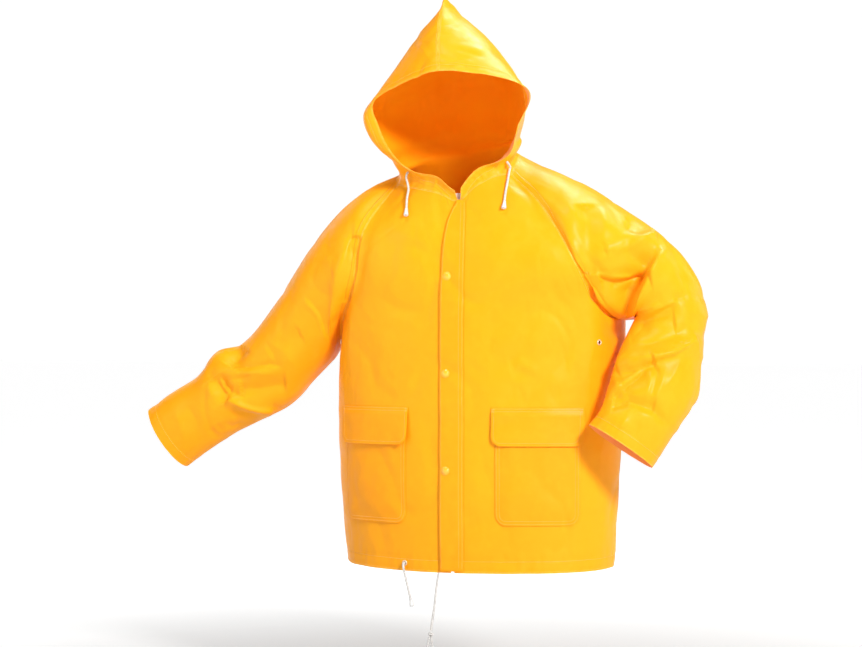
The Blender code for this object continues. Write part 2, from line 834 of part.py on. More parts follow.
# ---------------------------------------------------------------- panels
def corner_pull(first, second):
    """Move that keeps a border corner its own distance from both borders."""
    d1, g1 = first
    d2, g2 = second
    c = float(np.dot(d1, d2))
    if abs(c) > 0.94:
        return (d1 + d2) * (g1 + g2) / 4 * (1 if c > 0 else 0)
    a = (g1 - c * g2) / (1 - c * c)
    b = (g2 - c * g1) / (1 - c * c)
    return d1 * a + d2 * b


def inward_from(points, a, b, quad):
    """Unit direction from the edge a-b into its quad."""
    run = points[b] - points[a]
    run = run / np.linalg.norm(run)
    way = np.mean([points[v] for v in quad], axis=0) - points[a]
    way = way - run * np.dot(way, run)
    return way / np.linalg.norm(way)


def panel_shell(points, normals, quads, ids, wanted):
    """Points and faces of one panel with its own wall and clear seam edges."""
    mine = [q for q, pid in zip(quads, ids) if pid == wanted]
    sides = {}
    for q, pid in zip(quads, ids):
        for k in range(4):
            edge = tuple(sorted((q[k], q[(k + 1) % 4])))
            sides.setdefault(edge, []).append((pid, q))
    used = sorted({v for q in mine for v in q})
    place = {v: i for i, v in enumerate(used)}
    borders = []
    for q in mine:
        for k in range(4):
            a, b = q[k], q[(k + 1) % 4]
            around = sides[tuple(sorted((a, b)))]
            if len(around) == 1 or around[0][0] != around[1][0]:
                borders.append((a, b, q, around))
    pulls = {}
    for a, b, q, around in borders:
        inward = inward_from(points, a, b, q)
        pair = {pid for pid, _quad in around}
        if len(around) == 1:
            low = max(points[a][2], points[b][2]) < -0.010 and abs(points[a][0]) < 0.03
            gap = ZIP_HALF_GAP if low and wanted in (HOOD_R, HOOD_L) else 0.0
        elif pair == {FRONT_R, FRONT_L}:
            gap = ZIP_HALF_GAP
        else:
            other = [quad for pid, quad in around if pid != wanted][0]
            far = inward_from(points, a, b, other)
            spread = math.sqrt(max((1 - float(np.dot(inward, far))) / 2, 0.0))
            gap = SEAM_GAP / max(spread, 0.28)
        for v in (a, b):
            pulls.setdefault(v, []).append((inward, gap))
    outer = []
    inner = []
    for v in used:
        p = points[v].copy()
        if v in pulls:
            ways = pulls[v]
            if len(ways) == 1:
                p += ways[0][0] * ways[0][1]
            else:
                p += corner_pull(ways[0], ways[1])
        outer.append(p)
        inner.append(p - normals[v] * WALL)
    n = len(used)
    faces = [tuple(place[v] for v in q) for q in mine]
    faces += [tuple(n + place[v] for v in reversed(q)) for q in mine]
    for a, b, _q, _around in borders:
        faces.append((place[b], place[a], n + place[a], n + place[b]))
    return outer + inner, faces


# ---------------------------------------------------------------- pieces laid on the front
class Ground:
    """Finds the outer surface of the fronts."""

    def __init__(self, points, quads, ids, wanted):
        faces = [q for q, pid in zip(quads, ids) if pid in wanted]
        tris = []
        for q in faces:
            tris.append((q[0], q[1], q[2]))
            tris.append((q[0], q[2], q[3]))
        self.tree = BVHTree.FromPolygons([Vector(p) for p in points], tris)
        self.points = points
        self.tris = tris

    def at(self, x, z):
        """Point and unit normal of the front surface at x and z."""
        hit, normal, _index, _far = self.tree.ray_cast(Vector((x, -1.0, z)), Vector((0, 1, 0)))
        if hit is None:
            hit, normal, _index, _far = self.tree.find_nearest(Vector((x, -0.15, z)))
        if normal.y > 0:
            normal = -normal
        return np.array(hit), np.array(normal)

    def seen(self, u, v):
        """Point and outward normal of the surface seen at a place on the front drawing."""
        right = Vector((math.cos(DRAW_TURN), math.sin(DRAW_TURN), 0.0))
        toward = Vector((math.sin(DRAW_TURN), -math.cos(DRAW_TURN), 0.0))
        eye = right * -DRAW_SIDE + toward * DRAW_FAR + Vector((0, 0, -DRAW_RISE))
        flat = right * ((u - DRAW_MIDDLE[0]) * DRAW_UNIT - DRAW_SIDE)
        flat.z = -DRAW_RISE - (v - DRAW_MIDDLE[1]) * DRAW_UNIT
        way = (flat - eye).normalized()
        hit, normal, _index, _far = self.tree.ray_cast(eye, way)
        if normal.dot(way) > 0:
            normal = -normal
        return np.array(hit), np.array(normal)

    def soft(self, x, z, reach=0.008):
        """Like at, with the normal evened over the near surface."""
        p, n = self.at(x, z)
        total = n.copy()
        for dx, dz in ((reach, 0), (-reach, 0), (0, reach), (0, -reach)):
            total += self.at(x + dx, z + dz)[1]
        return p, total / np.linalg.norm(total)

    def along(self, side, distance, z):
        """x at a distance along the cloth from the centre front."""
        step = 0.004
        gone = 0.0
        x = 0.0
        last, _n = self.at(0.0, z)
        while gone < distance and abs(x) < 0.262:
            x += side * step
            here, _n = self.at(x, z)
            span = float(np.linalg.norm(here - last))
            if gone + span > distance:
                return x - side * step * (1 - (distance - gone) / span)
            gone += span
            last = here
        return x


def slab(name, grid, lift, wall, slot, coll):
    """Closed sheet from a grid of (point, normal) pairs: lifted, with its own wall."""
    rows = len(grid)
    cols = len(grid[0])

    def level(extra):
        return [
            grid[j][i][0] + grid[j][i][1] * (lift(j, i) + extra)
            for j in range(rows)
            for i in range(cols)
        ]

    points = level(wall) + level(0.0)
    n = rows * cols
    faces = []
    for j in range(rows - 1):
        for i in range(cols - 1):
            a = j * cols + i
            faces.append((a, a + 1, a + cols + 1, a + cols))
            faces.append((n + a + cols, n + a + cols + 1, n + a + 1, n + a))
    edge = [i for i in range(cols)]
    edge += [j * cols + cols - 1 for j in range(1, rows)]
    edge += [(rows - 1) * cols + i for i in range(cols - 2, -1, -1)]
    edge += [j * cols for j in range(rows - 2, 0, -1)]
    for k in range(len(edge)):
        a = edge[k]
        b = edge[(k + 1) % len(edge)]
        faces.append((b, a, n + a, n + b))
    return solid_from(name, points, faces, slot, coll)


def corner_inset(depth, radius):
    """How far a rounded corner draws the side in, at a depth from the end."""
    if depth >= radius:
        return 0.0
    return radius - math.sqrt(max(radius ** 2 - (radius - depth) ** 2, 0.0))


def patch_grid(ground, side, start, width, top, low, radius, cols, rows):
    """Grid of a pocket piece with rounded lower corners."""
    heights = [top] + list(np.linspace(top - 0.012, low + radius, rows - 1))
    heights += [low + radius * 0.55, low + radius * 0.2, low]
    grid = []
    for z in heights:
        inset = corner_inset(z - low, radius) * 0.97
        line = []
        for i in range(cols + 1):
            s = start + inset + (width - 2 * inset) * i / cols
            line.append(ground.soft(ground.along(side, s, z), z))
        grid.append(line)
    return grid


def add_pockets(ground, coll):
    """Patch pockets with their flaps."""
    for side, start, tag in ((-1, POCKET_INNER_RIGHT, "right"), (1, POCKET_INNER_LEFT, "left")):
        bag = patch_grid(
            ground,
            side,
            start + BAG_INSET,
            POCKET_WIDTH - 2 * BAG_INSET,
            BAG_TOP,
            BAG_BOTTOM,
            BAG_CORNER,
            11,
            8,
        )
        slab("pocket_bag_" + tag, bag, lambda j, i: LAY_GAP, LAID_WALL, "cloth", coll)
        flap = patch_grid(
            ground, side, start, POCKET_WIDTH, FLAP_TOP, FLAP_BOTTOM, FLAP_CORNER, 10, 4
        )
        rows = len(flap)

        def flap_lift(j, i):
            base = LAY_GAP + (LAID_WALL + 0.0008) * min(1.0, j)
            rise = FLAP_LIFT * (j / (rows - 1)) ** 2
            curl = 1.0 + (1.2 if side < 0 and i < 2 else 0.0)
            return base + rise * curl

        slab("pocket_flap_" + tag, flap, flap_lift, LAID_WALL, "cloth", coll)


def add_storm_flap(ground, coll):
    """Strip over the centre front, sewn along its left edge."""
    top = STORM_FLAP[0][0]
    low = STORM_FLAP[-1][0]
    heights = [r[0] for r in STORM_FLAP[:-1]]
    count = STORM_ROWS - len(heights)
    heights += list(np.linspace(heights[-1], low, count + 1)[1:])
    grid = []
    for z in heights:
        free, sewn = table_at(STORM_FLAP, z)
        line = []
        for i in range(STORM_COLS + 1):
            x = free + (sewn - free) * i / STORM_COLS
            line.append(ground.soft(x, max(z, low)))
        grid.append(line)
    slab("storm_flap", grid, lambda j, i: LAY_GAP, LAID_WALL, "cloth_pale", coll)
    return top, low


def add_zip(ground, coll):
    """Tape behind the fronts with the closed coil in the gap between them."""
    heights = list(ZIP_ROWS) + list(np.linspace(ZIP_ROWS[-1], ZIP_BOTTOM, 13)[1:])
    rows = len(heights) - 1
    cross = (
        (-ZIP_HALF_TAPE, 0.0),
        (-ZIP_COIL, 0.0),
        (-ZIP_COIL, 0.0022),
        (ZIP_COIL, 0.0022),
        (ZIP_COIL, 0.0),
        (ZIP_HALF_TAPE, 0.0),
    )
    points = []
    faces = []
    size = len(cross) + 2
    for z in heights:
        p, n = ground.at(0.0, min(z, ZIP_SHOWS))
        level = p[1] + (WALL + 0.0016) / abs(n[1])
        level += min(max(z - ZIP_SHOWS + 0.009, 0.0) * 0.3, 0.0034)
        level += 0.0012 * min(max((z + 0.100) / 0.030, 0.0), 1.0)
        for x, out in cross:
            px, _pn = ground.at(x, min(z, ZIP_SHOWS))
            sag = max(0.0, px[1] - p[1])
            if z > ZIP_SHOWS - 0.012:
                out = min(out, 0.0006)
            points.append((x, level + sag - out, z))
        points.append((ZIP_HALF_TAPE, level + 0.0016, z))
        points.append((-ZIP_HALF_TAPE, level + 0.0016, z))
    for j in range(rows):
        for k in range(size):
            a = j * size + k
            b = j * size + (k + 1) % size
            faces.append((a, b, b + size, a + size))
    faces.append(tuple(range(size)))
    faces.append(tuple(rows * size + k for k in reversed(range(size))))
    return solid_from("zip", points, faces, "tape", coll)


def turned(name, profile, centre, axis, steps, slot, coll, hole=False):
    """Turn a (radius, height) profile round an axis through a centre."""
    axis = np.array(axis, dtype=float)
    axis /= np.linalg.norm(axis)
    side = np.cross(axis, np.array((0.0, 0.0, 1.0)))
    if np.linalg.norm(side) < 0.2:
        side = np.cross(axis, np.array((1.0, 0.0, 0.0)))
    side /= np.linalg.norm(side)
    other = np.cross(axis, side)
    points = []
    faces = []
    rings = []
    for radius, height in profile:
        if radius < 1e-6:
            rings.append([len(points)])
            points.append(np.array(centre) + axis * height)
            continue
        ring = []
        for k in range(steps):
            a = 2 * math.pi * k / steps
            ring.append(len(points))
            points.append(
                np.array(centre)
                + axis * height
                + (side * math.cos(a) + other * math.sin(a)) * radius
            )
        rings.append(ring)
    pairs = list(zip(rings, rings[1:]))
    if hole:
        pairs.append((rings[-1], rings[0]))
    for a, b in pairs:
        for k in range(steps):
            m = (k + 1) % steps
            if len(a) == 1:
                faces.append((a[0], b[m], b[k]))
            elif len(b) == 1:
                faces.append((a[k], a[m], b[0]))
            else:
                faces.append((a[k], a[m], b[m], b[k]))
    return solid_from(name, points, faces, slot, coll)


def add_snaps(ground, coll):
    """Domed snap caps down the storm flap."""
    base = LAY_GAP + LAID_WALL + 0.0004
    for k, z in enumerate(SNAP_HEIGHTS):
        p, n = ground.soft(SNAP_X, z)
        r = SNAP_RADIUS
        h = SNAP_HEIGHT
        profile = ((0, 0), (r * 0.9, 0), (r, h * 0.25), (r * 0.86, h * 0.7), (r * 0.5, h * 0.95), (0, h))
        turned("snap_%d" % (k + 1), profile, p + n * base, n, 14, "snap", coll)


def add_eyelet(name, centre, normal, coll):
    """Thin metal ring lying on the cloth."""
    profile = (
        (EYELET_INNER, 0.0),
        (EYELET_OUTER, 0.0),
        ((EYELET_OUTER + EYELET_INNER) / 2, 0.0011),
    )
    turned(name, profile, centre + normal * 0.0006, normal, 12, "ring", coll, hole=True)


def add_cord(name, line, diameter, coll):
    """Round cord along a smooth centre line."""
    pts = spline(line, 3)
    curve = bpy.data.curves.new(name, "CURVE")
    curve.dimensions = "3D"
    curve.bevel_depth = diameter / 2
    curve.bevel_resolution = 1
    curve.use_fill_caps = True
    strand = curve.splines.new("POLY")
    strand.points.add(len(pts) - 1)
    for k, p in enumerate(pts):
        strand.points[k].co = (p[0], p[1], p[2], 1.0)
    ob = bpy.data.objects.new(name, curve)
    coll.objects.link(ob)
    made = bpy.data.meshes.new_from_object(ob)
    bpy.data.objects.remove(ob, do_unlink=True)
    bm = bmesh.new()
    bm.from_mesh(made)
    bmesh.ops.remove_doubles(bm, verts=bm.verts, dist=1e-6)
    bmesh.ops.recalc_face_normals(bm, faces=bm.faces)
    bm.to_mesh(made)
    bm.free()
    made.name = name
    solid = bpy.data.objects.new(name, made)
    coll.objects.link(solid)
    paint(solid, "cord")
    return pts


def add_tip(name, end, before, coll):
    """Bell-shaped moulded end on a cord."""
    way = np.array(end) - np.array(before)
    way /= np.linalg.norm(way)
    start = np.array(end) + way * 0.0004
    r = TIP_RADIUS
    n = TIP_LENGTH
    profile = ((0, 0), (r * 0.62, 0), (r * 0.66, n * 0.3), (r * 0.95, n * 0.62), (r, n * 0.94), (r * 0.8, n), (0, n))
    turned(name, profile, start, way, 10, "tip", coll)


def add_knot(name, end, before, coll):
    """Overhand knot drawn tight; gives the middle of its lower face and its direction."""
    way = np.array(end) - np.array(before)
    way /= np.linalg.norm(way)
    start = np.array(end) + way * 0.0004
    turned(name, KNOT, start, way, 10, "cord", coll)
    return start + way * KNOT[-1][1], way


def moved(line, start):
    """Points of a table moved to their start."""
    return [np.array(p) + start for p in line]


def add_cords(ground, coll):
    """Free ends of the hood cord and of the hem cord."""
    for tag, line in (("right", HOOD_CORD_RIGHT), ("left", HOOD_CORD_LEFT)):
        laid = []
        for u, v, over in line:
            p, n = ground.seen(u, v)
            laid.append(p + n * over)
        pts = add_cord("hood_cord_" + tag, laid, HOOD_CORD_D, coll)
        add_tip("hood_cord_tip_" + tag, pts[-1], pts[-2], coll)
    p, n = ground.soft(*HEM_EXIT_RIGHT)
    add_eyelet("hem_eyelet", p, n, coll)
    line = [p + n * (0.0006 + out) + np.array((aside, 0.0, up)) for aside, out, up in HEM_CORD_RIGHT]
    pts = add_cord("hem_cord_right", line, HEM_CORD_D, coll)
    add_tip("hem_cord_tip_right", pts[-1], pts[-2], coll)
    x, z = HEM_EXIT_LEFT
    p, n = ground.at(x, z + 0.004)
    exit_point = np.array((x, p[1] + WALL / 2, z))
    pts = add_cord("hem_cord_left", moved(HEM_CORD_LEFT, exit_point), HEM_CORD_D, coll)
    low, way = add_knot("hem_cord_knot", pts[-1], pts[-2], coll)
    across = np.cross(way, np.array((0.0, 1.0, 0.0)))
    across /= np.linalg.norm(across)
    for tag, line in (("a", TAIL_A), ("b", TAIL_B)):
        aside = across * (TAIL_D / 2 + 0.0002) * (-1 if tag == "a" else 1)
        start = low + way * 0.0004 + aside
        add_cord("hem_cord_tail_" + tag, moved(line, start), TAIL_D, coll)


# ---------------------------------------------------------------- the jacket
def main():
    """Build every node of the jacket."""
    coll, _cutters = fresh_collections()
    points, faces, panel = build_cage()
    cage = through_points(points, faces, panel)
    made, quads, ids = smooth(cage, faces, panel, LEVELS)
    normals = vertex_normals(made, quads)
    member = membership(len(made), quads, ids)
    made = made + normals * fold_shift(made, normals, member)[:, None]
    normals = vertex_normals(made, quads)
    for number, name in enumerate(PANELS):
        shell_points, shell_faces = panel_shell(made, normals, quads, ids, number)
        solid_from(name, shell_points, shell_faces, "cloth", coll)
    ground = Ground(made, quads, ids, (FRONT_R, FRONT_L))
    add_storm_flap(ground, coll)
    add_zip(ground, coll)
    add_pockets(ground, coll)
    add_snaps(ground, coll)
    add_cords(Ground(made, quads, ids, (FRONT_R, FRONT_L, HOOD_R, HOOD_L)), coll)
    for tag, x in (("left", 0.2500), ("right", -0.2530)):
        p, n = ground.soft(x, -0.2900)
        add_eyelet("vent_eyelet_" + tag, p, n, coll)


main()
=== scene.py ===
"""The hooded rain jacket with its cloth, stitching, press studs and cords, on a pale floor.

Metres, +Z up, the front looks along -Y and the wearer's left is +X.
"""
import math

import bmesh
import bpy
import numpy as np
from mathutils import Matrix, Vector, noise
from mathutils.bvhtree import BVHTree
from mathutils.kdtree import KDTree


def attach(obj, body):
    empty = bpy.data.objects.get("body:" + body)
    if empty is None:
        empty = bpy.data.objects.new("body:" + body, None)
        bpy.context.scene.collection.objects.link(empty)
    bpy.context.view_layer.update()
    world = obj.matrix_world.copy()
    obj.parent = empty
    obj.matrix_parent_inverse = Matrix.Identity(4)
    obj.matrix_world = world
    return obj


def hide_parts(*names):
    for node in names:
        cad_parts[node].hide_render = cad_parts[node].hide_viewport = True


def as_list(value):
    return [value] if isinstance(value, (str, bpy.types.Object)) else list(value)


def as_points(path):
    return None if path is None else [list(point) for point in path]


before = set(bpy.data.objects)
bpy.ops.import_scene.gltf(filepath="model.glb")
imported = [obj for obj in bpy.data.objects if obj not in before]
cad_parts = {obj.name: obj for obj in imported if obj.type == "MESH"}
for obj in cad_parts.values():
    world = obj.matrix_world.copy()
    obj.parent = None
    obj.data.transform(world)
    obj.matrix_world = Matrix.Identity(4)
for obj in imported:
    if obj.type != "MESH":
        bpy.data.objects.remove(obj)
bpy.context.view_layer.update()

# ---------------------------------------------------------------- named sizes
CLOTH = 0.0009           # thickness of the shown cloth
LEVELS = 4               # smoothing levels of the panels
ZIP_HALF_GAP = 0.0032    # each front stops this far short of the centre front
LAY_GAP = 0.0010         # clear space under a piece laid on a panel
HOOD_BAND = 0.026        # height of the hood's lower band at the neck
BAND_FLARE = 0.006       # how far the band leans out behind the neck
HOOD_MIDDLE = (-0.02, -0.03)     # x and y that the band leans away from
BORDER_REACH = 0.07      # points this near to the hem or the face opening are measured from it
ROW_STEP = 0.003         # step of x in measuring along the cloth
ROW_END = 0.262          # x at which that measuring ends, short of the side
EVEN_REACH = 0.008       # normals of laid pieces are evened over this distance
WALL = 0.0016            # thickness of the plain solids
BAG_CLOTH = 0.0012       # thickness of the shown pocket bags
FLAP_CLOTH = 0.0014      # thickness of the shown flaps
STITCH_IN = (0.0035, 0.0090)     # stitch lines of the pocket bags, from their edge
FLAP_STITCH_IN = 0.0055  # stitch line of the pocket flaps, from their edge
FRONT_EDGE = 0.009       # the fronts are drawn back to their gap over this much of their edge
BRAID_STEP = 0.0004      # length of a ring of a cord
BRAID_PITCH = 0.0036     # length of a turn of a cord's strands
TOOTH_PITCH = 0.00105    # from one zip tooth to the next
WELD_GRID = 20000        # steps in a metre: points within a step of each other are one
SURFACE_TRIES = 4        # rounds in which the cage is moved onto its points
LENS = 112.87            # focal length of the camera, mm
SENSOR = 36.0            # width of its picture, mm
FLOOR_Z = -0.93          # height of the floor
FLOOR_REACH = 40.0       # half width of the floor

# Panels, in the order of their numbers
PANELS = ("front_right", "front_left", "back", "sleeve_right", "sleeve_left", "hood_right", "hood_left")
FRONT_R, FRONT_L, BACK, SLEEVE_R, SLEEVE_L, HOOD_R, HOOD_L = range(7)

# Columns of half a body ring: 5 over the front, 4 round the underarm, 4 over the back
FRONT_COLS = 5
UNDER_COLS = 4
BACK_COLS = 4
ANGLES = (0, 14, 28, 41, 53, 63, 76, 90, 104, 118, 134, 149, 165, 180)
RAGLAN_ROWS = 4
NECK_COLS = 3
RING = 2 * RAGLAN_ROWS + UNDER_COLS + NECK_COLS

# The front drawing, on which folds are placed as the camera sees them: its turn to the wearer's
# left, size of a unit, distance of the eye, shift aside and up, middle
DRAW_TURN = math.radians(20.0)
DRAW_UNIT = 0.00185
DRAW_FAR = 5.0
DRAW_SIDE = 0.09065
DRAW_RISE = 0.25622
DRAW_MIDDLE = (431.0, 323.5)

# Body sections: height, half width right, half width left, front depth, back depth
BODY = (
    (-0.2, 0.268, 0.264, 0.151, 0.13), (-0.3, 0.279, 0.271, 0.1525, 0.132),
    (-0.4, 0.277, 0.27, 0.1535, 0.133), (-0.5, 0.274, 0.267, 0.154, 0.132),
    (-0.6, 0.266, 0.262, 0.1535, 0.13), (-0.7, 0.256, 0.255, 0.152, 0.128),
)
BODY_ROWS = (0.16, 0.36, 0.58, 0.80, 1.0)
# Hem heights: front, side, back
HEM_RIGHT = (-0.7050, -0.6940, -0.7010)
HEM_LEFT = (-0.7050, -0.6990, -0.7010)

# Top of the body rings per column, corner to corner round the underarm: x, y, z
UNDER_LEFT = (
    (0.2398, -0.095, -0.2064), (0.259, -0.048, -0.24), (0.27, 0.005, -0.246), (0.263, 0.056, -0.238),
    (0.243, 0.098, -0.208),
)
UNDER_RIGHT = (
    (-0.219, -0.1, -0.214), (-0.252, -0.054, -0.259), (-0.272, 0.004, -0.293), (-0.265, 0.056, -0.278),
    (-0.24, 0.1, -0.22),
)
CENTRE_FRONT = (
    (0.0, -0.152, -0.235), (0.0, -0.149, -0.182), (0.0, -0.143, -0.128), (0.0, -0.133, -0.078),
    (0.0, -0.118, -0.031),
)
CENTRE_BACK = (
    (0.0, 0.132, -0.235), (-0.004, 0.131, -0.165), (-0.012, 0.118, -0.095), (-0.024, 0.088, -0.026),
    (-0.033, 0.048, 0.046),
)
# Raglan seams from the underarm corner up to the neck
RAGLAN_FRONT_LEFT = (
    (0.2398, -0.095, -0.2064), (0.229, -0.116, -0.168), (0.2, -0.118, -0.112), (0.1405, -0.09, -0.034),
    (0.085, -0.075, 0.014),
)
RAGLAN_FRONT_RIGHT = (
    (-0.219, -0.1, -0.214), (-0.199, -0.118, -0.165), (-0.193, -0.117, -0.108), (-0.172, -0.098, -0.053),
    (-0.138, -0.068, 0.0),
)
RAGLAN_BACK_LEFT = (
    (0.243, 0.098, -0.208), (0.222, 0.122, -0.156), (0.188, 0.121, -0.094), (0.128, 0.088, -0.014),
    (0.047, 0.03, 0.056),
)
RAGLAN_BACK_RIGHT = (
    (-0.24, 0.1, -0.22), (-0.226, 0.122, -0.16), (-0.198, 0.12, -0.096), (-0.16, 0.09, -0.026),
    (-0.113, 0.031, 0.04),
)
# Neck seam, front columns then side columns
NECK_FRONT_LEFT = (
    (0.0, -0.118, -0.031), (0.02, -0.1175, -0.016), (0.043, -0.1135, -0.001), (0.062, -0.106, 0.01),
    (0.076, -0.093, 0.014), (0.085, -0.075, 0.014),
)
NECK_FRONT_RIGHT = (
    (0.0, -0.118, -0.031), (-0.029, -0.1175, -0.022), (-0.057, -0.113, -0.015), (-0.085, -0.103, -0.009),
    (-0.112, -0.088, -0.004), (-0.138, -0.068, 0.0),
)
NECK_SIDE_LEFT = (
    (0.085, -0.075, 0.014), (0.087, -0.044, 0.039), (0.075, -0.006, 0.055), (0.047, 0.03, 0.056),
)
NECK_SIDE_RIGHT = (
    (-0.138, -0.068, 0.0), (-0.143, -0.037, 0.02), (-0.135, 0.0, 0.033), (-0.113, 0.031, 0.04),
)
# Upper edge of the hood's lower band over the front columns
BAND_FRONT_LEFT = (
    (0.002, -0.1215, -0.016), (0.015, -0.1225, 0.002), (0.037, -0.122, 0.023), (0.062, -0.117, 0.031),
    (0.08, -0.104, 0.039), (0.09, -0.084, 0.043),
)
BAND_FRONT_RIGHT = (
    (-0.005, -0.1215, -0.016), (-0.02, -0.1225, -0.007), (-0.043, -0.1215, 0.01), (-0.078, -0.115, 0.017),
    (-0.108, -0.102, 0.023), (-0.136, -0.082, 0.031),
)
# Sleeve rings from the shoulder to the cuff: outer edge x y z, inner edge x y z, front, back
SLEEVE_LEFT = (
    (0.177, -0.012, 0.01, 0.272, 0.004, -0.247, 0.122, 0.12),
    (0.251, -0.012, -0.035, 0.283, 0.0, -0.249, 0.11, 0.108),
    (0.326, -0.005, -0.082, 0.296, -0.006, -0.248, 0.094, 0.098),
    (0.386, 0.01, -0.138, 0.305, -0.018, -0.246, 0.083, 0.09),
    (0.424, 0.022, -0.214, 0.301, -0.032, -0.26, 0.074, 0.08),
    (0.426, 0.006, -0.285, 0.29, -0.058, -0.297, 0.066, 0.068),
    (0.425, -0.018, -0.345, 0.283, -0.085, -0.332, 0.058, 0.058),
    (0.421, -0.031, -0.395, 0.2745, -0.112, -0.386, 0.054, 0.05),
    (0.396, -0.053, -0.436, 0.266, -0.122, -0.412, 0.05, 0.046),
    (0.3514, -0.085, -0.512, 0.2483, -0.128, -0.436, 0.044, 0.04),
)
SLEEVE_RIGHT = (
    (-0.19, -0.012, 0.007, -0.281, 0.004, -0.3, 0.124, 0.12),
    (-0.254, -0.012, -0.031, -0.284, 0.0, -0.307, 0.112, 0.11),
    (-0.315, -0.012, -0.097, -0.291, -0.006, -0.322, 0.098, 0.1),
    (-0.364, -0.012, -0.167, -0.308, -0.008, -0.34, 0.087, 0.09),
    (-0.415, -0.012, -0.235, -0.338, -0.008, -0.371, 0.078, 0.08),
    (-0.471, -0.012, -0.296, -0.376, -0.01, -0.409, 0.07, 0.071),
    (-0.525, -0.012, -0.308, -0.432, -0.01, -0.436, 0.064, 0.063),
    (-0.56, -0.01, -0.35, -0.48, -0.01, -0.46, 0.058, 0.056),
    (-0.605, -0.01, -0.379, -0.53, -0.01, -0.489, 0.052, 0.05),
    (-0.668, -0.01, -0.421, -0.592, -0.01, -0.53, 0.046, 0.044),
)
# Hood lines, one row per rib from the band up to the top seam: x, y, z
MOUTH_LEFT = (
    (0.0961, -0.125, 0.0425), (0.1142, -0.14, 0.0717), (0.13, -0.15, 0.1117), (0.146, -0.16, 0.16),
    (0.067, -0.204, 0.1868), (-0.0061, -0.212, 0.1925),
)
MOUTH_RIGHT = (
    (-0.1071, -0.125, 0.0341), (-0.1326, -0.14, 0.0719), (-0.1472, -0.15, 0.1134), (-0.1443, -0.16, 0.1507),
    (-0.0567, -0.203, 0.1816), (-0.0061, -0.212, 0.1925),
)
SIDE_LEFT = (
    (0.093, -0.075, 0.072), (0.1075, -0.088, 0.095), (0.12, -0.097, 0.128), (0.118, -0.11, 0.172),
    (0.041, -0.124, 0.256), (-0.019, -0.178, 0.244),
)
SIDE_RIGHT = (
    (-0.148, -0.083, 0.058), (-0.173, -0.097, 0.088), (-0.182, -0.104, 0.1286), (-0.152, -0.104, 0.17),
    (-0.085, -0.12, 0.256), (-0.019, -0.178, 0.244),
)
REAR_LEFT = (
    (0.06, 0.026, 0.098), (0.061, 0.04, 0.126), (0.057, 0.045, 0.165), (0.042, 0.034, 0.208),
    (-0.003, -0.045, 0.296), (-0.032, -0.126, 0.302),
)
REAR_RIGHT = (
    (-0.122, 0.026, 0.096), (-0.129, 0.04, 0.128), (-0.127, 0.045, 0.168), (-0.11, 0.034, 0.211),
    (-0.074, -0.045, 0.295), (-0.032, -0.126, 0.302),
)
HOOD_BACK = (
    (-0.033, 0.062, 0.1), (-0.033, 0.078, 0.136), (-0.033, 0.085, 0.18), (-0.034, 0.073, 0.226),
    (-0.0345, -0.01, 0.308), (-0.0351, -0.092, 0.337),
)
MOUTH_COLUMN = 3
RIB_KNOTS = (0.0, 0.3, 0.7, 1.0)

# Folds seen from the front: start across, down, end across, down, half width (drawing
# units), depth in millimetres (negative stands out), panel
FOLDS = (
    (586, 205, 591, 275, 10, 8.0, SLEEVE_L), (606, 249, 655, 235, 9, -6.0, SLEEVE_L),
    (628, 222, 652, 229, 8, 5.0, SLEEVE_L), (600, 284, 650, 274, 11, 9.0, SLEEVE_L),
    (628, 330, 676, 322, 9, 7.0, SLEEVE_L), (618, 380, 655, 362, 10, 8.0, SLEEVE_L),
    (616, 362, 698, 344, 9, -5.0, SLEEVE_L), (612, 404, 655, 408, 8, 5.0, SLEEVE_L),
    (214, 378, 228, 400, 9, 8.0, SLEEVE_R), (228, 398, 272, 410, 8, -5.0, SLEEVE_R),
    (243, 347, 230, 366, 8, 7.0, SLEEVE_R), (240, 390, 286, 384, 10, 6.0, SLEEVE_R),
    (268, 352, 300, 334, 10, 3.0, SLEEVE_R), (356, 236, 352, 304, 9, 6.0, SLEEVE_R),
    (510, 366, 566, 352, 11, 2.0, FRONT_L),
)
# Folds of the back, seen from behind: start x, z, end x, z, half width, depth (millimetres)
BACK_FOLDS = (
    (-0.115, -0.06, -0.145, -0.25, 26, 5.0), (0.12, -0.045, 0.15, -0.235, 24, 4.0),
    (-0.04, -0.33, -0.052, -0.64, 28, -4.0), (0.064, -0.39, 0.058, -0.66, 30, 4.0),
    (-0.16, -0.42, -0.15, -0.66, 26, 3.0), (0.18, -0.3, 0.172, -0.6, 26, -4.0),
    (-0.33, -0.14, -0.3, -0.26, 22, 4.0), (-0.42, -0.3, -0.4, -0.39, 22, 5.0),
    (0.33, -0.12, 0.31, -0.23, 22, 4.0), (0.35, -0.3, 0.42, -0.32, 20, 5.0),
)

# Pockets: side, distance of the inner edge from the centre front along the cloth, name
POCKETS = ((-1, 0.0870, "right"), (1, 0.0725, "left"))
POCKET_WIDTH = 0.168
BAG_INSET = 0.006
BAG_TOP = -0.4260
BAG_BOTTOM = -0.6190
FLAP_TOP = -0.4070
FLAP_BOTTOM = -0.4760
FLAP_CORNER = 0.018
BAG_CORNER = 0.020
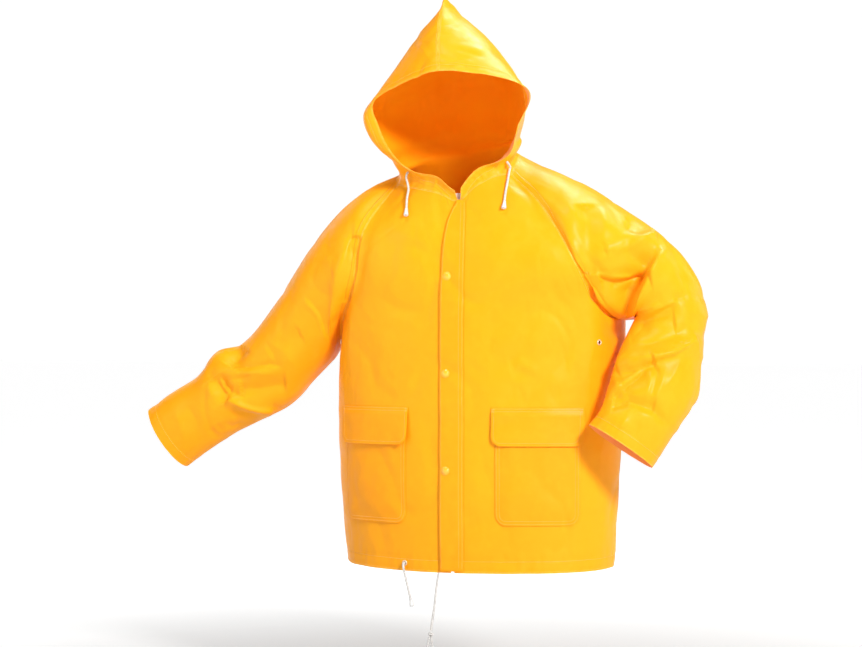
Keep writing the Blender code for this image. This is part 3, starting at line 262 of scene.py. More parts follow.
# Storm flap: height, free edge x, stitched edge x
STORM_FLAP = (
    (-0.033, -0.0005, 0.014), (-0.049, -0.0095, 0.016), (-0.068, -0.016, 0.0175), (-0.094, -0.0198, 0.019),
    (-0.13, -0.0225, 0.0205), (-0.19, -0.0238, 0.021), (-0.702, -0.0238, 0.021),
)
SNAP_HEIGHTS = (-0.1712, -0.3462, -0.5213)
SNAP_X = -0.0120
SNAP_RADIUS = 0.0080
ROUND_STEPS = 32         # corners of a cap or a ring
TIP_STEPS = 24           # of a bell tip
SHADE_DISC_STEPS = 20          # of the painted shade disc in an eyelet's centre
ZIP_HALF_TAPE = 0.0140
ZIP_COLS = 9             # points across the tape
ZIP_TAPE = 0.0010        # thickness of the tape
TOOTH_SIDES = 6          # sides of a tooth
# Sections of a tooth: distance from the centre line, share of its full width
TOOTH = ((-0.0004, 0.45), (0.0006, 1.0), (0.0018, 1.0), (0.0027, 0.5))
ZIP_SHOWS = -0.0360
ZIP_BOTTOM = -0.6930

# Thickness of the cords
HOOD_CORD_D = 0.0042
HEM_CORD_D = 0.0044
TAIL_D = 0.0036
KNOT_RADIUS = 0.0030     # of the turns of the knot
KNOT_LONG = 0.0150       # from the cord's end to the tails
# Cords of the hood: across, down on the front drawing, clear space over the cloth
HOOD_CORD_RIGHT = (
    (408.3, 172.0, 0.0006), (408.3, 172.3, 0.0045), (408.9, 175.6, 0.0078), (409.9, 182.0, 0.0072),
    (410.2, 190.0, 0.0056), (408.6, 199.0, 0.005), (407.9, 210.5, 0.0058),
)
HOOD_CORD_LEFT = (
    (506.7, 161.5, 0.0006), (506.7, 161.8, 0.0045), (506.8, 165.2, 0.0078), (506.9, 173.0, 0.0072),
    (506.5, 184.0, 0.0056), (505.6, 194.0, 0.005), (504.9, 202.7, 0.0058),
)
# Cord at the hem's eyelet, from its exit: aside, out from the cloth, up
HEM_CORD_RIGHT = (
    (0.0, 0.0, 0.0), (0.0, 0.0042, -0.0003), (0.0008, 0.0066, -0.006), (0.0028, 0.0056, -0.018),
    (0.0076, 0.0044, -0.04), (0.0132, 0.0038, -0.064),
)
# Cord at the centre front, from its exit: x, y, z
HEM_CORD_LEFT = (
    (0.0, 0.0, 0.0), (-0.002, -0.0002, -0.01), (-0.0052, 0.0, -0.032), (-0.0082, 0.0, -0.06),
    (-0.012, -0.0006, -0.085), (-0.0144, -0.001, -0.104),
)
# Places of the exits on the front: x, z
HEM_EXIT_RIGHT = (-0.0955, -0.6900)
HEM_EXIT_LEFT = (-0.0270, -0.7056)
# Tails below the knot, from its end
TAIL_A = ((0.0, 0.0, 0.0), (-0.001, -0.0004, -0.008), (-0.004, -0.001, -0.022))
TAIL_B = ((0.0, 0.0, 0.0), (0.0008, 0.0004, -0.009), (0.0026, 0.0012, -0.025))
TIP_RADIUS = 0.0044
TIP_LENGTH = 0.0150
EYELET_OUTER = 0.0052
EYELET_INNER = 0.0029

# Creases seen from the front, by panel: points on the front drawing, half width in drawing units,
# depth in millimetres (negative stands out), lean (the share by which the left flank is wider)
CREASES = {
    SLEEVE_L: (
        (((622, 221), (634, 229), (646, 238)), 6, 3.2, 0.3),
        (((640, 236), (622, 246), (603, 254)), 5, 3.6, -0.3),
        (((660, 235), (640, 242), (623, 248), (601, 258)), 6, -3.4, 0.3),
        (((598, 274.5), (613, 279), (628.6, 279.3), (642, 268.8), (659, 252.5)), 7, -4.6, 0.3),
        (((600, 287), (620, 291), (636, 284), (650, 268)), 8, 4.2, -0.2),
        (((661, 251), (652, 268), (644, 285), (634, 307), (628.6, 320.4)), 6, -5.0, -0.2),
        (((650, 262), (637, 284), (627, 303), (620, 317)), 7, 5.6, 0.3),
        (((588, 282), (594, 299.4), (602, 312.8), (615, 317), (624, 318)), 4.5, 4.0, 0.0),
        (((611, 290), (616, 295.5)), 3, 1.6, 0.0), (((663, 303), (650, 309), (635, 314.7)), 5, -2.8, 0.2),
        (((632, 318), (654, 317), (677, 313)), 4.5, 3.0, -0.2),
        (((672, 299), (681, 297), (691, 293)), 4, 2.6, 0.2), (((661, 262), (667, 247)), 4, -1.8, 0.0),
        (((676, 268), (684, 281), (686, 296)), 6, 1.8, 0.2),
        (((612, 368), (632, 365), (646.4, 357.9), (661.7, 355.8), (682, 350.7), (705.6, 326)), 6, -4.6, 0.3),
        (((617, 373), (634, 366), (650, 360)), 5, 3.8, -0.2),
        (((624, 344), (650, 343), (680, 333), (694, 320)), 7, 3.4, 0.2),
        (((649, 361), (630, 376), (610.7, 390.5), (604.6, 397.7)), 5, -3.6, 0.3),
        (((614, 378), (606, 388), (603, 394)), 5, 2.4, 0.0),
        (((652.6, 363), (650, 382), (646.4, 401.7)), 6, -2.4, 0.3),
        (((659, 366), (655, 384), (649, 402)), 4.5, 1.8, 0.2),
        (((666.8, 363), (661, 385), (651.5, 406.8)), 6, -2.4, 0.3),
        (((684, 354), (674, 374), (661.7, 391.5)), 8, -2.6, -0.3),
        (((604.6, 409), (615.8, 401.7), (628, 396.6), (640.3, 401.7), (654.6, 406.8), (673, 428.3)),
         4.5, 3.6, 0.2),
        (((606, 416), (620, 408), (634, 408), (650, 416), (664, 433)), 6, -2.2, 0.0),
        (((628, 417), (618, 432)), 5, -1.8, 0.2), (((640, 420), (634, 438)), 4, 1.4, 0.2),
        (((561, 200), (575, 213), (586, 232)), 8, -2.2, 0.2),
        (((600, 205), (606, 226), (603, 246)), 7, -2.6, 0.2),
        (((540, 190), (556, 199), (570, 214)), 6, 1.2, 0.2),
    ),
    SLEEVE_R: (
        (((243, 347), (236, 355), (229, 363)), 4.5, 3.4, 0.2),
        (((229, 368), (247, 369.4), (264.8, 366.3), (279, 368.2)), 4, 3.0, 0.2),
        (((226, 380), (240, 378), (253, 375.5)), 4, 2.6, 0.2),
        (((234, 374), (256, 372.5), (276, 374)), 4.5, -2.2, 0.0),
        (((214, 377), (217.6, 386), (222.7, 393.7), (233, 395)), 4.5, 4.4, 0.3),
        (((208, 376), (209, 388), (216, 400)), 5, -3.2, 0.2),
        (((236, 390), (262, 391), (290, 386)), 8, 3.0, 0.1),
        (((224, 397.5), (252, 406.4), (277, 410.3)), 5, -3.6, 0.2),
        (((227, 411), (246, 412.6), (266, 411)), 4, 2.8, -0.2),
        (((223, 422), (233, 426.8), (246, 422)), 4, 2.4, 0.0),
        (((209, 427), (214, 434), (221, 440.5)), 4, 2.2, 0.2), (((216, 422.5), (223, 433)), 3.5, 1.6, 0.0),
        (((351.8, 219), (350.4, 243.7), (355, 263)), 5.5, 2.6, 0.3),
        (((366, 292), (360, 299), (354, 307)), 4.5, 2.4, 0.2),
        (((349.5, 294), (346, 314), (342, 337)), 6, 4.4, 0.2),
        (((296, 300), (314, 318), (322, 342)), 10, 1.8, 0.3),
        (((322, 246), (334, 272), (336, 300)), 9, -1.8, 0.2),
        (((262, 340), (284, 352), (300, 372)), 8, -2.0, 0.2),
        (((184, 402), (196, 420), (198, 440)), 6, 1.6, 0.2),
        (((172, 404), (180, 424), (186, 446)), 6, -1.4, 0.2),
    ),
    FRONT_L: (
        (((466, 206), (474, 213), (483, 220)), 6, 1.6, 0.2),
        (((463, 361), (475, 369), (489, 379)), 6, 1.6, 0.2),
        (((509, 374), (520.8, 363.7), (542.5, 375.5)), 5.5, -2.6, 0.1),
        (((513, 378), (521, 371), (537, 378)), 5, 1.6, 0.1),
        (((517.8, 384), (521, 394), (525, 405)), 3.2, 1.5, 0.2),
        (((512, 382), (513, 392), (513.7, 403)), 3.2, 1.2, 0.2),
        (((546.3, 384), (552, 395), (558.6, 406)), 3.2, 1.5, 0.2),
        (((553.5, 382), (557, 392), (559.6, 403)), 3.0, 1.1, 0.2),
        (((499, 405), (506, 400), (513.5, 395)), 3.0, 1.2, 0.2),
        (((502, 553), (507, 562), (512, 571)), 3.2, 1.4, 0.2),
        (((509, 553), (513, 562), (517, 570)), 3.0, 1.2, 0.2),
        (((574, 330), (566, 356), (570, 388)), 9, 1.4, 0.3),
        (((548, 268), (556, 296), (574, 316)), 9, 1.6, 0.3),
        (((596, 332), (588, 366), (592, 398)), 7, -1.6, 0.2),
    ),
    FRONT_R: (
        (((423, 216), (423, 225)), 3, 1.0, 0.0), (((428.7, 188), (428.7, 192.5)), 3.5, 1.4, 0.0),
        (((384, 401), (388, 406)), 2.8, 1.0, 0.0), (((389, 400), (393.5, 406.5)), 2.8, 1.1, 0.0),
        (((342, 376.3), (351, 375), (360.5, 375.2)), 3.6, 1.2, 0.1),
        (((370, 449), (364, 472), (355.5, 497)), 7, -1.6, 0.3),
        (((360, 322), (372, 346), (374, 378)), 9, 1.4, 0.3),
        (((398, 226), (392, 262), (380, 296)), 10, 1.2, 0.3),
        (((352, 310), (350, 336), (346, 360)), 6, -1.8, 0.3),
    ),
    HOOD_L: (
        (((446, 47), (467, 52), (496, 59.5)), 4, 1.8, 0.2),
        (((446, 43), (468, 47), (492, 53)), 4, -1.2, 0.2),
        (((437, 33), (444, 34), (451, 35)), 3.6, 1.3, 0.1), (((478, 172), (483, 180)), 2.2, 0.9, 0.0),
        (((483, 169), (487, 178)), 2.2, 0.9, 0.0), (((472, 176), (476, 184)), 2.4, 0.7, 0.0),
    ),
    HOOD_R: (
        (((414, 41), (426, 42), (437, 41)), 4.5, -1.6, 0.1),
        (((416, 41), (426, 53), (432, 64)), 4.5, -1.6, 0.2),
        (((404, 60), (396, 82), (390, 96)), 6, 1.2, 0.2), (((430, 174), (427, 184)), 2.6, 0.9, 0.0),
        (((420, 176), (416, 185)), 2.6, 0.7, 0.0),
    ),
}
# Edges of folds that lie over the cloth behind them, by panel: points, rise and run of the drop
# in drawing units, drop in millimetres, side of the drop
OVERLAPS = {
    SLEEVE_L: (
        (((662, 246), (655, 262), (644, 285), (634, 307), (627, 322)), 3.4, 30, 36.0, 1),
        (((602, 252), (622, 247), (645, 239), (662, 232)), 3.0, 12, 3.5, 1),
        (((597, 276), (612, 283), (628, 283), (644, 270)), 3.0, 13, 4.5, 1),
        (((629, 322), (646, 315), (664, 306), (680, 300)), 3.0, 14, 8.0, 1),
        (((616, 372), (634, 366), (652, 360), (672, 354), (694, 340)), 3.0, 15, 9.0, 1),
        (((606, 399), (616, 390), (630, 378), (646, 366)), 3.0, 13, 8.0, 1),
        (((604, 409), (616, 402), (628, 397), (641, 402), (656, 408), (672, 426)), 2.6, 9, 4.5, 1),
    ),
    SLEEVE_R: (
        (((216, 374), (220, 386), (228, 396), (244, 401)), 3.0, 12, 8.5, -1),
        (((228, 366), (246, 370), (266, 367), (284, 370)), 2.8, 10, 5.5, -1),
        (((226, 398), (252, 407), (280, 411)), 2.8, 10, 5.5, -1),
        (((349, 296), (346, 314), (341, 338)), 3.0, 9, 6.0, -1),
        (((300, 296), (316, 316), (325, 342)), 4.0, 16, 3.5, -1),
    ),
}
# Creases of the hood's inside, seen through the face opening, by panel
INNER_CREASES = {
    HOOD_L: (
        (((508, 96), (507, 122), (504, 152)), 7, 2.4, 0.3),
        (((470, 92), (466, 118), (468, 150)), 9, 1.4, 0.2),
    ),
    HOOD_R: (
        (((410, 98), (416, 122), (424, 150)), 9, 1.6, 0.2),
    ),
}
# Creases of the back, seen from behind: points x, z, half width (millimetres), depth
# (millimetres), lean
BACK_CREASES = (
    (((0.168, -0.085), (0.19, -0.16), (0.216, -0.214)), 15, 3.0, 0.3),
    (((0.132, -0.12), (0.166, -0.196), (0.206, -0.262)), 17, -2.8, 0.2),
    (((0.098, -0.205), (0.14, -0.272), (0.196, -0.322)), 16, 2.4, 0.3),
    (((-0.196, -0.09), (-0.206, -0.16), (-0.226, -0.226)), 15, 3.0, -0.3),
    (((-0.154, -0.118), (-0.182, -0.2), (-0.224, -0.272)), 17, -2.6, -0.2),
    (((-0.118, -0.236), (-0.166, -0.296), (-0.222, -0.336)), 16, 2.2, -0.2),
    (((0.02, -0.36), (0.03, -0.45), (0.016, -0.56)), 20, -2.0, 0.2),
    (((0.128, -0.42), (0.116, -0.52), (0.124, -0.65)), 18, 2.4, 0.3),
    (((0.16, -0.47), (0.152, -0.56), (0.16, -0.668)), 15, -2.2, 0.2),
    (((-0.1, -0.44), (-0.112, -0.54), (-0.102, -0.664)), 18, 2.4, -0.3),
    (((-0.018, -0.52), (-0.026, -0.6), (-0.014, -0.676)), 14, 1.8, 0.2),
    (((-0.205, -0.47), (-0.196, -0.57), (-0.204, -0.66)), 15, -1.8, 0.2),
    (((-0.078, -0.01), (-0.03, -0.03), (0.03, -0.022)), 14, 1.8, 0.2),
    (((-0.092, -0.044), (-0.034, -0.062), (0.042, -0.052)), 15, -1.4, 0.2),
    (((-0.048, 0.078), (-0.02, 0.07), (0.012, 0.08)), 12, 1.6, 0.1),
    (((-0.104, 0.12), (-0.074, 0.098), (-0.052, 0.108)), 11, 1.4, 0.1),
    (((0.03, 0.112), (0.006, 0.1), (-0.018, 0.114)), 11, 1.4, 0.1),
    (((-0.08, 0.18), (-0.07, 0.14), (-0.078, 0.096)), 12, -1.2, 0.2),
    (((0.014, 0.19), (0.006, 0.15), (0.016, 0.11)), 12, -1.2, 0.2),
    (((0.29, -0.07), (0.282, -0.14), (0.3, -0.206)), 13, 3.2, 0.3),
    (((0.252, -0.066), (0.256, -0.14), (0.27, -0.2)), 12, -2.6, 0.3),
    (((0.312, -0.24), (0.35, -0.226), (0.396, -0.214)), 10, 4.0, 0.3),
    (((0.304, -0.268), (0.356, -0.262), (0.414, -0.262)), 10, -3.4, 0.3),
    (((0.298, -0.306), (0.35, -0.312), (0.408, -0.326)), 10, 3.6, 0.2),
    (((0.304, -0.346), (0.35, -0.34), (0.404, -0.36)), 9, -2.4, 0.2),
    (((0.296, -0.392), (0.33, -0.402), (0.376, -0.416)), 9, 2.6, 0.2),
    (((0.27, -0.424), (0.3, -0.448), (0.346, -0.464)), 9, -2.0, 0.2),
    (((-0.3, -0.092), (-0.306, -0.18), (-0.3, -0.262)), 14, 3.0, -0.3),
    (((-0.356, -0.16), (-0.352, -0.236), (-0.33, -0.3)), 13, -2.6, -0.3),
    (((-0.404, -0.226), (-0.398, -0.3), (-0.372, -0.36)), 12, 3.4, -0.3),
    (((-0.462, -0.282), (-0.446, -0.35), (-0.42, -0.4)), 11, -2.8, -0.3),
    (((-0.498, -0.3), (-0.488, -0.36), (-0.452, -0.426)), 10, 3.2, -0.3),
    (((-0.552, -0.336), (-0.532, -0.396), (-0.506, -0.45)), 9, -2.0, -0.2),
    (((-0.596, -0.374), (-0.578, -0.43), (-0.556, -0.478)), 9, 2.2, -0.2),
)
# Creases of the outer sides, seen square on: side, points y, z, half width, depth, lean
SIDE_CREASES = (
    (1, ((-0.06, -0.2), (-0.01, -0.214), (0.046, -0.204)), 10, 3.2, 0.2),
    (1, ((-0.056, -0.236), (-0.01, -0.246), (0.04, -0.236)), 9, -2.8, 0.2),
    (1, ((-0.064, -0.268), (-0.016, -0.28), (0.03, -0.276)), 9, 3.2, 0.2),
    (1, ((-0.07, -0.304), (-0.026, -0.318), (0.014, -0.316)), 9, -2.4, 0.2),
    (1, ((-0.08, -0.392), (-0.04, -0.408), (0.0, -0.404)), 8, 2.6, 0.2),
    (1, ((-0.104, -0.43), (-0.066, -0.446), (-0.03, -0.45)), 8, -2.0, 0.2),
    (1, ((0.006, -0.09), (0.02, -0.13), (0.014, -0.18)), 11, 2.0, 0.2),
    (-1, ((-0.036, -0.44), (-0.012, -0.462), (0.016, -0.446)), 8, 1.8, 0.2),
    (-1, ((-0.056, -0.33), (-0.014, -0.352), (0.03, -0.34)), 10, 2.6, 0.2),
    (-1, ((-0.06, -0.196), (-0.014, -0.214), (0.04, -0.204)), 11, 2.2, 0.2),
)
# Gathers at the stitched borders: depth, spacing, distance from the border, reach
GATHERS = {
    "hem": (0.0011, 0.017, 0.019, 0.016),
    "cuff": (0.0009, 0.013, 0.019, 0.014),
    "mouth": (0.0012, 0.014, 0.014, 0.012),
}
# Distance of each casing's stitching from its border
CASING = {"hem": 0.0215, "cuff": 0.0190, "mouth": 0.0150}

STITCH_PITCH = 0.0036    # from one stitch to the next
STITCH_LONG = 0.0024     # length of a stitch
STITCH_R = 0.00042       # half its thickness
STITCH_SUNK = 0.0003     # its ends lie this deep in the cloth and its middle this far over it
SEWN_STEP = 0.004        # step of the points that a stitch line is drawn through
SEWN_FAR = 0.006         # a line ends where the cloth is farther off than this
# Stitch lines by their distance from the seam or the edge
FELLED = (0.0016, 0.0102)        # lapped seams
NECK_SEWN = (0.0018,)
CROWN_SEWN = (0.0030,)
HEMMED = (0.0030, 0.0215)        # front edges and hem
CUFF_SEWN = (0.0190,)
MOUTH_SEWN = (0.0030, 0.0150)    # face opening
VENTS = (("left", 0.2510), ("right", -0.2530))     # ventilation eyelets: name and x
VENT_Z = -0.2900         # their height


# ---------------------------------------------------------------- lines and sections
def along_path(points):
    """Distance of each point of a line from its start."""
    return np.r_[0, np.cumsum(np.linalg.norm(np.diff(points, axis=0), axis=1))]


def unit(way):
    """The direction of a vector."""
    return way / np.linalg.norm(way)


def table_at(rows, key):
    """Read a table whose first column rises or falls steadily."""
    data = np.array(rows, dtype=float)
    if data[0, 0] > data[-1, 0]:
        data = data[::-1]
    return [float(np.interp(key, data[:, 0], data[:, c])) for c in range(1, data.shape[1])]


def lagrange(knots, values, t):
    """Smooth curve through a few points."""
    total = np.zeros(3)
    for i, a in enumerate(knots):
        weight = 1.0
        for j, b in enumerate(knots):
            if j != i:
                weight *= (t - b) / (a - b)
        total += weight * np.array(values[i], dtype=float)
    return total


def spline(points, per_span):
    """Catmull-Rom line through the points, with per_span steps a span."""
    pts = [np.array(p, dtype=float) for p in points]
    pts = [2 * pts[0] - pts[1]] + pts + [2 * pts[-1] - pts[-2]]
    line = []
    for i in range(1, len(pts) - 2):
        for k in range(per_span):
            t = k / per_span
            a, b, c, d = pts[i - 1], pts[i], pts[i + 1], pts[i + 2]
            bend = (2 * a - 5 * b + 4 * c - d) * t * t + (3 * b - a - 3 * c + d) * t ** 3
            line.append(0.5 * (2 * b + (c - a) * t + bend))
    line.append(pts[-2])
    return line


def coons(bottom, top, left, right):
    """Grid [row][column] filled from its four border lines."""
    rows = len(left)
    cols = len(bottom)
    grid = []
    for j in range(rows):
        v = j / (rows - 1)
        line = []
        for i in range(cols):
            u = i / (cols - 1)
            across = (1 - u) * left[j] + u * right[j]
            along = (1 - v) * bottom[i] + v * top[i]
            corners = (1 - v) * ((1 - u) * bottom[0] + u * bottom[-1]) + v * ((1 - u) * top[0] + u * top[-1])
            line.append(across + along - corners)
        grid.append(line)
    return grid


def body_point(side, angle, z):
    """Point on the body section at an angle from the centre front."""
    right, left, front, back = table_at(BODY, z)
    half = left if side > 0 else right
    a = math.radians(angle)
    x = side * half * math.sin(a)
    y = -front * math.cos(a) if angle <= 90 else -back * math.cos(a)
    return np.array((x, y, z))


def hem_height(side, angle):
    """Height of the hem at an angle from the centre front."""
    front, flank, back = HEM_LEFT if side > 0 else HEM_RIGHT
    if angle <= 90:
        return front + (flank - front) * (angle / 90.0) ** 2
    return flank + (back - flank) * ((angle - 90) / 90.0)


# ---------------------------------------------------------------- the cage
class Cage:
    """Shared points, panel-numbered quads and their cloth coordinates in metres."""

    def __init__(self):
        self.points = []
        self.faces = []
        self.panel = []
        self.uvs = []

    def grid(self, rows, panel_of, flip=False):
        """Add a grid of points and its quads, panel_of(row, column) names the panel."""
        start = len(self.points)
        cols = len(rows[0])
        spots = np.array(rows, dtype=float)
        across = np.r_[0, np.cumsum(np.linalg.norm(np.diff(spots, axis=1), axis=2).mean(axis=0))]
        down = np.r_[0, np.cumsum(np.linalg.norm(np.diff(spots, axis=0), axis=2).mean(axis=1))]
        for row in rows:
            self.points.extend(row)
        for j in range(len(rows) - 1):
            for i in range(cols - 1):
                a = start + j * cols + i
                quad = (a, a + 1, a + cols + 1, a + cols)
                uv = [(across[m], down[n]) for m, n in ((i, j), (i + 1, j), (i + 1, j + 1), (i, j + 1))]
                self.faces.append(quad[::-1] if flip else quad)
                self.uvs.append(uv[::-1] if flip else uv)
                self.panel.append(panel_of(j, i))


def side_tables(side):
    """The tables and panels of one side of the jacket."""
    pairs = {
        "under": (UNDER_LEFT, UNDER_RIGHT), "rf": (RAGLAN_FRONT_LEFT, RAGLAN_FRONT_RIGHT),
        "rb": (RAGLAN_BACK_LEFT, RAGLAN_BACK_RIGHT), "nf": (NECK_FRONT_LEFT, NECK_FRONT_RIGHT),
        "ns": (NECK_SIDE_LEFT, NECK_SIDE_RIGHT), "band": (BAND_FRONT_LEFT, BAND_FRONT_RIGHT),
        "sleeve": (SLEEVE_LEFT, SLEEVE_RIGHT), "mouth": (MOUTH_LEFT, MOUTH_RIGHT),
        "hside": (SIDE_LEFT, SIDE_RIGHT), "rear": (REAR_LEFT, REAR_RIGHT),
        "front": (FRONT_L, FRONT_R), "arm": (SLEEVE_L, SLEEVE_R), "hood": (HOOD_L, HOOD_R),
    }
    return {key: pair[side < 0] for key, pair in pairs.items()}


def arrays(rows):
    """Table rows as points."""
    return [np.array(row, dtype=float) for row in rows]


def neck_back(top):
    """Back neck line from the raglan seam to the centre back."""
    a = np.array(top, dtype=float)
    b = np.array(CENTRE_BACK[-1], dtype=float)
    line = []
    for i in range(BACK_COLS + 1):
        t = i / BACK_COLS
        p = a + (b - a) * t
        p[1] = a[1] + (b[1] - a[1]) * math.sin(t * math.pi / 2)
        line.append(p)
    return line


def top_ring(side, tab):
    """Upper row of the body rings, from the centre front round to the centre back."""
    line = []
    cf = np.array(CENTRE_FRONT[0])
    cb = np.array(CENTRE_BACK[0])
    corner = np.array(tab["under"][0])
    own = body_point(side, ANGLES[FRONT_COLS], corner[2])
    for i in range(FRONT_COLS):
        t = i / FRONT_COLS
        p = body_point(side, ANGLES[i], cf[2] + (corner[2] - cf[2]) * t ** 3)
        line.append(p + (corner - own) * t ** 2)
    line.extend(arrays(tab["under"]))
    corner = np.array(tab["under"][-1])
    first = FRONT_COLS + UNDER_COLS
    own = body_point(side, ANGLES[first], corner[2])
    for i in range(1, BACK_COLS + 1):
        t = 1 - i / BACK_COLS
        p = body_point(side, ANGLES[first + i], cb[2] + (corner[2] - cb[2]) * t ** 3)
        line.append(p + (corner - own) * t ** 2)
    line[0] = cf
    line[-1] = cb
    return line


def add_body(cage, side, tab):
    """Lower body rings, upper front and upper back of one side."""
    ring = top_ring(side, tab)
    rows = [ring]
    for part in BODY_ROWS:
        line = []
        for i, angle in enumerate(ANGLES):
            z = ring[i][2] + (hem_height(side, angle) - ring[i][2]) * part
            p = body_point(side, angle, z)
            own = body_point(side, angle, ring[i][2])
            line.append(p + (ring[i] - own) * (1 - part) ** 3)
        rows.append(line)
    side_col = FRONT_COLS + UNDER_COLS // 2

    def panel_of(j, i):
        return tab["front"] if i < side_col else BACK

    cage.grid(rows, panel_of, flip=side > 0)
    front = coons(ring[: FRONT_COLS + 1], arrays(tab["nf"]), arrays(CENTRE_FRONT), arrays(tab["rf"]))
    cage.grid(front, lambda j, i: tab["front"], flip=side < 0)
    nb = neck_back(tab["rb"][-1])
    first = FRONT_COLS + UNDER_COLS
    back = coons(ring[first:], nb, arrays(tab["rb"]), arrays(CENTRE_BACK))
    cage.grid(back, lambda j, i: BACK, flip=side < 0)
    return nb


def sleeve_ring(row, before, after, side):
    """One sleeve section from its outer and inner edge points and its two depths."""
    top = np.array(row[0:3])
    low = np.array(row[3:6])
    mid = (top + low) / 2
    half = (top - low) / 2
    along = after - before
    along -= half * np.dot(along, half) / np.dot(half, half)
    depth = unit(np.cross(along, half) * side)
    if np.dot(depth, np.array((0.0, -1.0, 0.0))) < 0:
        depth = -depth
    line = []
    for m in range(RING + 1):
        a = 2 * math.pi * (m % RING) / RING
        reach = row[6] if math.sin(a) > 0 else row[7]
        line.append(mid - half * math.cos(a) + depth * reach * math.sin(a))
    return line


def add_sleeve(cage, side, tab):
    """Loft from the armhole to the cuff."""
    under = arrays(tab["under"])
    half = UNDER_COLS // 2
    loop = [under[half - k] for k in range(half)]
    loop += arrays(tab["rf"])
    loop += arrays(tab["ns"])[1:-1]
    loop += arrays(tab["rb"])[::-1]
    loop += [under[-1 - k] for k in range(1, half)]
    loop.append(loop[0])
    rows = [loop]
    centres = [np.mean(loop[:-1], axis=0)]
    for row in tab["sleeve"]:
        centres.append((np.array(row[0:3]) + np.array(row[3:6])) / 2)
    for k, row in enumerate(tab["sleeve"]):
        after = centres[min(k + 2, len(centres) - 1)]
        rows.append(sleeve_ring(row, centres[k], after, side))
    cage.grid(rows, lambda j, i: tab["arm"], flip=side > 0)


def add_hood(cage, side, tab, nb):
    """Lower band along the neck seam and the ribs above it."""
    neck = arrays(tab["nf"]) + arrays(tab["ns"])[1:] + nb[1:]
    band = arrays(tab["band"])
    for p in neck[FRONT_COLS + 1:]:
        out = p - np.array((*HOOD_MIDDLE, p[2]))
        band.append(p + unit(out) * BAND_FLARE + np.array((0, 0, HOOD_BAND)))
    cage.grid([neck, band], lambda j, i: tab["hood"], flip=side < 0)
    rows = [band[MOUTH_COLUMN:]]
    cols = len(rows[0])
    for j in range(len(tab["mouth"])):
        knots = (tab["mouth"][j], tab["hside"][j], tab["rear"][j], HOOD_BACK[j])
        rows.append([lagrange(RIB_KNOTS, knots, i / (cols - 1)) for i in range(cols)])
    cage.grid(rows, lambda j, i: tab["hood"], flip=side < 0)


def build_cage():
    """The whole jacket as one open quad cage with shared borders."""
    cage = Cage()
    for side in (-1, 1):
        tab = side_tables(side)
        nb = add_body(cage, side, tab)
        add_sleeve(cage, side, tab)
        add_hood(cage, side, tab, nb)
    return weld(cage)


def weld(cage):
    """Join points that share a place."""
    index = {}
    points = []
    where = []
    for p in cage.points:
        key = tuple(int(round(c * WELD_GRID)) for c in p)
        found = None
        for dx in (-1, 0, 1):
            for dy in (-1, 0, 1):
                for dz in (-1, 0, 1):
                    found = index.get((key[0] + dx, key[1] + dy, key[2] + dz), found)
        if found is None:
            found = len(points)
            index[key] = found
            points.append(p)
        where.append(found)
    faces = [tuple(where[i] for i in f) for f in cage.faces]
    return np.array(points), faces, cage.panel, cage.uvs


def drawn(points):
    """Where points fall on the front drawing, in drawing units."""
    across = points[:, 0] * math.cos(DRAW_TURN) + points[:, 1] * math.sin(DRAW_TURN)
    near = points[:, 0] * math.sin(DRAW_TURN) - points[:, 1] * math.cos(DRAW_TURN)
    grow = DRAW_FAR / (DRAW_FAR - near) / DRAW_UNIT
    u = DRAW_MIDDLE[0] + (across + DRAW_SIDE) * grow
    v = DRAW_MIDDLE[1] - (points[:, 2] + DRAW_RISE) * grow
    return np.stack((u, v), axis=1)


# ---------------------------------------------------------------- the smooth surface
def pulled(items, key, width, kind=float):
    """A field of all items of a mesh, one row an item."""
    values = np.empty(len(items) * width, dtype=kind)
    items.foreach_get(key, values)
    return values.reshape(-1, width)


def smooth(points, faces, panel, levels, uvs=None):
    """Catmull-Clark surface of the cage: points, quads, panel numbers and cloth coordinates."""
    mesh = bpy.data.meshes.new("cage")
    mesh.from_pydata([tuple(p) for p in points], [], faces)
    mesh.polygons.foreach_set("material_index", panel)
    if uvs is not None:
        mesh.uv_layers.new(name="cloth").data.foreach_set("uv", np.array(uvs, dtype=np.float32).ravel())
    ob = bpy.data.objects.new("cage", mesh)
    bpy.context.scene.collection.objects.link(ob)
    mod = ob.modifiers.new("round", "SUBSURF")
    mod.levels = levels
    mod.render_levels = levels
    mod.boundary_smooth = "PRESERVE_CORNERS"
    view = bpy.context.evaluated_depsgraph_get()
    made = ob.evaluated_get(view).to_mesh()
    co = pulled(made.vertices, "co", 3)
    quads = pulled(made.loops, "vertex_index", 1, np.int64).reshape(-1, 4)
    ids = pulled(made.polygons, "material_index", 1, np.int64).ravel()
    uv = None
    if uvs is not None:
        uv = pulled(made.uv_layers[0].data, "uv", 2, np.float32).reshape(-1, 4, 2)
    ob.evaluated_get(view).to_mesh_clear()
    bpy.data.objects.remove(ob, do_unlink=True)
    bpy.data.meshes.remove(mesh)
    return co, quads, ids, uv


def through_points(points, faces, panel):
    """Move the cage so that its smooth surface passes through the given points."""
    cage = points.copy()
    for _ in range(SURFACE_TRIES):
        made = smooth(cage, faces, panel, 1)[0]
        cage += 0.9 * (points - made[: len(points)])
    return cage


def vertex_normals(points, quads):
    """Area-weighted normals of the whole surface."""
    normals = np.zeros_like(points)
    face = np.cross(points[quads[:, 2]] - points[quads[:, 0]], points[quads[:, 3]] - points[quads[:, 1]])
    for k in range(4):
        np.add.at(normals, quads[:, k], face)
    size = np.linalg.norm(normals, axis=1)
    return normals / np.maximum(size, 1e-12)[:, None]


